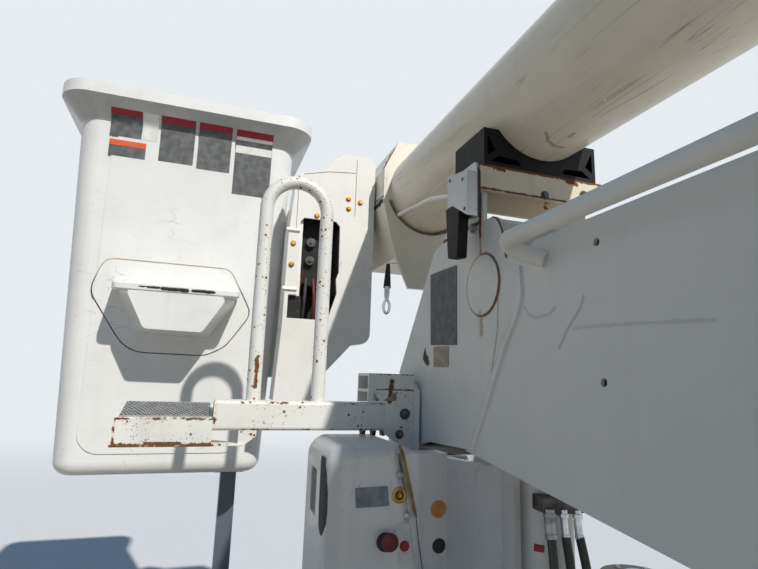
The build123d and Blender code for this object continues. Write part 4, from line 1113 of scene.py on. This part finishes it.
# %% [markdown]
# The side panel beside the cover has an amber cap and a black plug. Each is a shallow
# turned dome with a soft rim, pushed into its hole.

# %% Caps on the side panel
side_face = on_face((-8, 0, 0), (0, 1, 0), (0, 0, 1))
amber = Piece(side_face)
amber.turned([(16.5, -1), (16.5, 1.2), (15, 2.6), (9, 3.4), (0.5, 3.6)], (-160, 901), 32)
amber.keep("amber_cap", "turret", small["amber_cap"])
plug = Piece(side_face)
plug.turned([(14, -1), (14, 1), (12.6, 1.8), (11, 0.6), (0.5, 0.4)], (-158, 832), 32)
plug.keep("panel_plug", "turret", small["black_and_painted_shade"])
print("caps placed")

# %% [markdown]
# The tip housing is closed by bolts with yellow zinc heads. Behind its window there is a
# dark space with two rope sheaves and a few hoses; the sheaves' dark finish and the black
# sheets round them are painted shade, and that depth is what makes the window look open.
# Fine seams and two thin ledges show where the housing's covers meet.

# %% Housing bolts and sheaves
housing_face = on_face((-516, 0, 0), (0, 1, 0), (0, 0, 1))
housing_bolts = Piece(housing_face)
for i, centre in enumerate(((-242, 1710), (-240, 1678), (-203, 1703), (-406, 1547), (-408, 1482), (-339, 1642))):
    housing_bolts.bolt(centre, 7.5, i * 0.7)
housing_bolts.keep("housing_bolts", "bucket", small["brass_bolt"])
# The sheaves take the dark bolt finish as painted shade of the housing's inside.
sheaves = Piece(on_face((-560, 0, 0), (0, 1, 0), (0, 0, 1)))
for centre in ((-345, 1566), (-346, 1508)):
    sheaves.turned([(14, -6), (14, -3), (11, 0), (14, 3), (14, 6), (5, 7), (4.5, 12), (0.5, 12)], centre, 28)
sheaves.keep("rope_sheaves", "bucket", small["dark_bolt"])
drum = Piece(on_face((-590, 0, 0), (0, 1, 0), (0, 0, 1)))
drum.slab(rounded([Vector(c) for c in ((-372, 1640), (-372, 1440), (-300, 1420), (-296, 1640))], 14), -20, 22)
drum.keep("rope_drum", "bucket", small["black_and_painted_shade"])
print("sheaves placed")

# %% Hoses inside the housing
housing_hoses = [
    ("hose_a", -368, "red_skin"), ("hose_b", -352, "hose_skin"),
    ("hose_c", -330, "red_skin"), ("hose_d", -316, "grey_bolt"),
]
for name, y, finish_name in housing_hoses:
    bend = (y + 340) * 0.35
    upper_half = [(-575, y, 1460), (-566, y + bend * 0.4, 1430), (-556, y + bend, 1395)]
    lower_half = [(-560, y + bend * 1.4, 1350), (-580, y + bend * 1.5, 1310)]
    route = Piece()
    route.bar(upper_half + lower_half, 5.5, 10)
    route.keep("housing_" + name, "bucket", small[finish_name], 0, 60)
print("hoses in the housing:", len(housing_hoses))

# %% Seams and ledges of the housing
seams = Piece()
for line in (
    [(-515.6, -218, 1846), (-515.6, -218, 1801), (-515.6, -219, 1655)],
    [(-515.6, -386, 1770), (-515.6, -309, 1790), (-515.6, -222, 1799)],
    [(-515.6, -400, 1765), (-515.6, -400, 1595)],
):
    seams.bar(line, 1.0, 6)
seams.keep("housing_seams", "bucket", small["seam_shade"])
ledges = Piece()
for level, outer, inner in ((1588, -429, -388), (1408, -431, -388)):
    ledge = []
    for out, height in ((-518, 9), (-511, 2), (-510, -1), (-511, -4), (-518, -5)):
        ledge.append((out, level + height))
    ledges.skin([[(x, y, z) for x, z in ledge] for y in (outer, inner)])
ledges.keep("housing_ledges", "bucket", finishes["white_plastic"], 1.5)
print("housing seamed")

# %% [markdown]
# A black lining stands behind the window, so that no light comes in from the back, and a
# thin black patch covers the shallow part of the opening beside it. Their black, like that
# of the window's inner walls, is painted shade of the housing's deep inside.

# %% Lining of the housing
lining = Piece(on_face((-640, 0, 0), (0, 1, 0), (0, 0, 1)))
lining_outline = [(-376, 1100), (-310, 1100), (-303, 1180), (-166, 1310), (-166, 1785), (-232, 1822), (-376, 1735)]
lining.slab(lining_outline, -3, 3)
lining.keep("housing_lining", "bucket", small["black_and_painted_shade"], 0.5)
patch = Piece(on_face((-532, 0, 0), (0, 1, 0), (0, 0, 1)))
patch.slab([(-412, 1322), (-371, 1322), (-371, 1391), (-412, 1391)], -0.3, 1.0)
patch.keep("window_patch", "bucket", small["black_and_painted_shade"])
window_walls = Piece(on_face((-524, 0, 0), (0, 1, 0), (0, 0, 1)))
for (y0, z0), (y1, z1) in (
    ((-261, 1472), (-264, 1617)), ((-265, 1406), (-269, 1449)), ((-269, 1449), (-261, 1472)),
):
    window_walls.slab([(y0, z0), (y0 + 5, z0), (y1 + 5, z1), (y1, z1)], -100, -2)
window_walls.keep("window_wall", "bucket", small["black_and_painted_shade"])
print("lining corners:", len(lining_outline))

# %% [markdown]
# The tip collar is a moulded block. Its upper cover ends in a ragged dark gap on the right
# side, and a dark slot with two yellow bolts sits on the facet above it. Both are thin black
# sheets, painted shade in place of an opening; the gap's torn outline costs far less than
# cutting the collar.

# %% Tip collar
collar_side = on_face((0, -150, 0), (1, 0, 0), (0, 0, 1))
gap = Piece(collar_side)
gap_random = random.Random(7)
gap_places = [-566 + i * 8.4 for i in range(15)]
top_edge = [(x, 1703 + 2 * math.sin(i * 0.7)) for i, x in enumerate(gap_places)]
low_edge = [(x, 1690 + gap_random.uniform(-5, 7)) for x in gap_places]
gap.slab(top_edge + low_edge[::-1], -0.5, 0.7)
gap.keep("collar_gap", "upper_boom", small["black_and_painted_shade"])
facet_up = Vector((0, 45, 95))
facet = on_face((-440, -150, 1800), (1, 0, 0), facet_up)
slot_face = Piece(facet)
slot_face.slab(rounded([Vector(c) for c in ((-22, 2), (-3, 6), (-2, 82), (-18, 86))], 5), -0.5, 0.9)
slot_face.keep("collar_slot", "upper_boom", small["black_and_painted_shade"])
slot_bolts = Piece(facet)
slot_bolts.bolt((-13, 26), 5.5)
slot_bolts.bolt((-12, 54), 5.5)
slot_bolts.keep("collar_bolts", "upper_boom", small["brass_bolt"])
cover_seam = Piece()
cover_seam.bar([(-441, -150.4, 1708), (-470, -150.4, 1712), (-520, -150.4, 1712), (-566, -150.4, 1706)], 1.6, 6)
cover_seam.keep("collar_seam", "upper_boom", small["groove_dirt"])
print("collar dressed")

# %% [markdown]
# A pale steel link with a ring hangs below the collar on a short black strap. The strap
# and the link are thin slabs with rounded corners, and the ring is a closed round bar.

# %% Hanging link
hanger = on_face((-452, -127, 0), (0, 1, 0), (0, 0, 1))
strap = Piece(hanger)
strap.slab(rounded([Vector(c) for c in ((-4, 1500), (-12, 1424), (12, 1424), (7, 1500))], 3), -1.5, 1.5)
strap.keep("hanging_strap", "upper_boom", small["black_and_painted_shade"], 0.4)
link = Piece(hanger)
link.slab(rounded([Vector(c) for c in ((-8, 1430), (-7, 1392), (7, 1392), (8, 1430))], 4), -3, 3)
link.keep("hanging_link", "upper_boom", small["pale_steel"], 0.8)
loop = []
loop_points = 28
for i in range(loop_points):
    angle = 2 * math.pi * i / loop_points
    loop.append((-452, -127 + 9.5 * math.sin(angle), 1368 + 20 * math.cos(angle)))
hanging_ring = Piece()
hanging_ring.bar(loop, 4.2, 12, True)
hanging_ring.keep("hanging_ring", "upper_boom", small["pale_steel"], 0, 60)
print("link hung")

# %% [markdown]
# The root plate carries a large dark plate and a small buff one, both blank, and a chip in
# the paint. The latch has three small rivets, and the saddle's bracket is held by bolts that
# have gone dark.

# %% Plates and chip on the boom's root
root_face = on_face((0, root_side, 0), (1, 0, 0), (0, 0, 1))
large_corners = [(-126, 1405), (-120, 1236), (12, 1229), (10, 1402)]
small_corners = [(-104, 1231), (-102, 1185), (-26, 1183), (-26, 1229)]
face_plate("root_plate_large", root_face, large_corners, "lower_boom", "dark_print", 1.4)
face_plate("root_plate_small", root_face, small_corners, "lower_boom", "paper_print", 1.2)
chip = Piece(root_face)
chip_low = [(-167, 1206), (-158, 1198), (-140, 1187), (-128, 1192)]
chip_high = [(-134, 1209), (-146, 1216), (-152, 1233), (-160, 1224)]
chip.slab(chip_low + chip_high, -0.4, 0.35)
chip.keep("paint_chip", "lower_boom", small["groove_dirt"])
print("root plates placed")

# %% Bolts and rivets on the root
bracket_bolts = Piece(on_face((bracket_front, 0, 0), (0, 1, 0), (0, 0, 1)))
bracket_bolts.bolt((5, 1537), 8)
bracket_bolts.bolt((103, 1551), 9, 0.9)
bracket_bolts.keep("bracket_bolts", "lower_boom", small["dark_bolt"])
latch_face = on_face((0, -181, 0), (1, 0, 0), (0, 0, 1))
rivets = Piece(latch_face)
for centre, radius in (((132, 1545), 4), ((140, 1482), 4), ((76, 1562), 3.4)):
    rivets.turned([(radius, -0.5), (radius, 0.6), (radius * 0.7, 1.6), (0.4, 1.9)], centre, 16)
rivets.keep("latch_rivets", "lower_boom", small["dark_bolt"])
post_bolt = Piece(root_face)
post_bolt.bolt((84, 1464), 10)
post_bolt.keep("post_bolt", "lower_boom", small["grey_bolt"])
print("root dressed")

# %% [markdown]
# The step's bracket is bolted through: one large dark bolt at the arm and a smaller one
# under it, each with the end of its thread showing. Three small tapered feet hang under
# the arm.

# %% Step bolts
arm_face = on_face((-172, 0, 0), (0, 1, 0), (0, 0, 1))
step_bolts = Piece(arm_face)
for centre, size in (((-172, 1075), 11), ((-184, 1029), 9)):
    step_bolts.bolt(centre, size, 0.2)
    step_bolts.turned([(size * 0.5, size * 0.8), (size * 0.5, size * 1.3), (size * 0.3, size * 1.4)], centre, 14)
step_bolts.keep("step_bolts", "turret", small["dark_bolt"])
under_arm = Piece()
for y in (-262, -236, -212):
    under_arm.skin([
        [(-200, y - 5, 1037), (-200, y + 5, 1037), (-226, y + 5, 1037), (-226, y - 5, 1037)],
        [(-204, y - 4, 1022), (-204, y + 4, 1022), (-222, y + 4, 1022), (-222, y - 4, 1022)],
    ])
under_arm.keep("arm_feet", "turret", small["dark_bolt"], 1)
print("step bolted")

# %% [markdown]
# The lift cylinder's port block faces forward. Three hoses leave it with crimped steel
# collars and go down to the turntable. The cylinder leans back as the boom rises; the
# collars ride on the barrel, and the hoses are fixed meshes that don't follow it. A small
# red tag sits on the barrel.

# %% Port block and hoses of the lift cylinder
ports = Piece(on_face((172, 0, 0), (0, 1, 0), (0, 0, 1)))
ports.slab(rounded([Vector(c) for c in ((-52, 960), (-52, 934), (-34, 928), (36, 930), (36, 956))], 4), -18, 16)
ports.keep("port_block", "lift_barrel", small["dark_bolt"], 1.5)
hose_low = 676
hose_bends = 16
cylinder_hoses = [
    ("outer", -40, 940, 9.5, "grey_bolt"),
    ("left", -10, 938, 6.8, "pale_steel"),
    ("right", 19, 936, 6.8, "pale_steel"),
]
for name, y, top, thick, finish_name in cylinder_hoses:
    collar_piece = Piece()
    collar_piece.bar([(186, y, top), (187, y, top - 12), (188, y, top - 30), (190, y, top - 44)], thick, 20)
    collar_piece.bar([(187, y, top - 6), (187, y, top - 14)], thick + 2, 6)
    collar_piece.bar([(190, y, top - 40), (191, y, top - 48)], thick + 1, 20)
    collar_piece.keep("hose_collar_" + name, "lift_barrel", small[finish_name], 0.8)
    hose = Piece()
    hose_top = top - 42
    hose_line = []
    for i in range(hose_bends + 1):
        share = i / hose_bends
        height = hose_top - share * (hose_top - hose_low)
        sway = 22 * math.sin(math.pi * share)
        hose_line.append((190 + sway - 8 * share, y * (1 + 0.5 * share), height))
    hose.bar(hose_line, 7.8, 14)
    made = hose.keep("lift_hose_" + name, None, small["hose_skin"], 0, 60)
    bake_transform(made)
print("hoses placed:", len(cylinder_hoses))

# %% Tag on the barrel
tag = Piece(on_face((152, -37, 866), (0.7, 0.7, 0), (0, 0, 1)))
tag.slab([(-10, -6), (8, -6), (9, 6), (-9, 7)], -2, 1.2)
tag.keep("red_tag", "lift_barrel", small["red_print"], 0.4)
print("tag placed")

# %% [markdown]
# The sides out of the camera's view get the fasteners that such a machine has: bolts on the
# pedestal's plate, a ring of them on the turntable, one on the slew drive, and caps with
# bolts on the hinge pins. `round_centre` spaces them evenly.

# %% Bolts of the plate and the turntable
def round_centre(count, radius, offset=0.0):
    """Points spaced evenly on a circle."""
    angles = [2 * math.pi * (i + offset) / count for i in range(count)]
    return [(radius * math.cos(angle), radius * math.sin(angle)) for angle in angles]


plate_centres = [(x, y) for x in (-340, 0, 340) for y in (-400, 400)]
turntable_centres = [
    (x, y) for x, y in round_centre(20, 302, 0.5)
    if y < 150 and not (x < 20 and y < -120)
]
for name, body, level, size, centres in (
    ("plate_bolts", "base", 175, 12, plate_centres),
    ("turntable_bolts", "turret", 674.5, 9, turntable_centres),
):
    bolts = Piece(Matrix.Translation((0, 0, level)))
    for i, centre in enumerate(centres):
        bolts.bolt(centre, size, i * 0.4)
    bolts.keep(name, body, small["grey_bolt"])
print("bolts:", len(plate_centres), "and", len(turntable_centres))

# %% Caps on the hinge pins
def pin_cap(name, body, node_name, x, z, side, radius, spread):
    """A low turned cap with three bolts, on one end of a pin."""
    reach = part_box(node_name)[1][1] * 1000
    cap = Piece(on_face((x, side * reach, z), (-side, 0, 0), (0, 0, 1)))
    cap.turned([(radius, -1), (radius, 3), (radius - 3, 5), (0.5, 5)], (0, 0), 28)
    for i, centre in enumerate(round_centre(3, spread)):
        cap.bolt(centre, 5, i)
    cap.keep(name, body, small["dark_bolt"])


for side, side_word in ((-1, "right"), (1, "left")):
    pin_cap("pivot_cap_" + side_word, "turret", "boom_pivot_pin", -240, 1085, side, 24, 14)
    for level_word, level in (("low", 1290), ("high", 1560)):
        name = "elbow_cap_" + level_word + "_" + side_word
        pin_cap(name, "elbow_head", "elbow_pin_" + level_word, 3450, level, side, 26, 15)
print("caps on the pins placed")

# %% Bolts of the slew drive
drive_bolts = Piece(Matrix.Translation((0, 0, 740.5)))
drive_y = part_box("slew_drive")[0][1] * 1000 + 78
for i, (x, y) in enumerate(round_centre(6, 62)):
    drive_bolts.bolt((x, drive_y + y), 6, i)
drive_bolts.turned([(30, 0), (30, 6), (26, 9), (0.5, 9)], (0, drive_y), 28)
drive_bolts.keep("drive_bolts", "turret", small["grey_bolt"])
print("drive bolted")

# %% [markdown]
# The floor is a plain pale sheet that isn't part of the object. Far from the machine it
# turns into the backdrop's colour, for the rays that see the backdrop, so no horizon shows.
# The light that it throws back on the machine is dimmer and warmer than it looks.

# %% Floor
floor_mesh = bpy.data.meshes.new("floor")
floor_shape = bmesh.new()
bmesh.ops.create_circle(floor_shape, cap_ends=True, radius=30, segments=96)
floor_shape.to_mesh(floor_mesh)
floor_shape.free()
floor = bpy.data.objects.new("floor", floor_mesh)
scene.collection.objects.link(floor)
floor_finish = Finish("floor")
seeing_ray = floor_finish.seeing()
lit_colour, seen_colour = colour(166, 158, 144), colour(222, 224, 226)
floor_finish.set("Base Color", floor_finish.mix(lit_colour, seen_colour, seeing_ray))
floor_finish.set("Roughness", 0.9)
away = floor_finish.vector("LENGTH", floor_finish.place, (0, 0, 0), "Value")
far_glow = floor_finish.node("ShaderNodeEmission", {}, {"Color": backdrop_colour})
blended = floor_finish.node("ShaderNodeMixShader", {}, {
    0: away.step(5.0, 11.0) * seeing_ray,
    1: Signal(floor_finish, floor_finish.shader.outputs[0]),
    2: far_glow,
})
output = floor_finish.tree.nodes["Material Output"]
floor_finish.feed(output.inputs["Surface"], blended)
floor_mesh.materials.append(floor_finish.material)
print("floor laid")
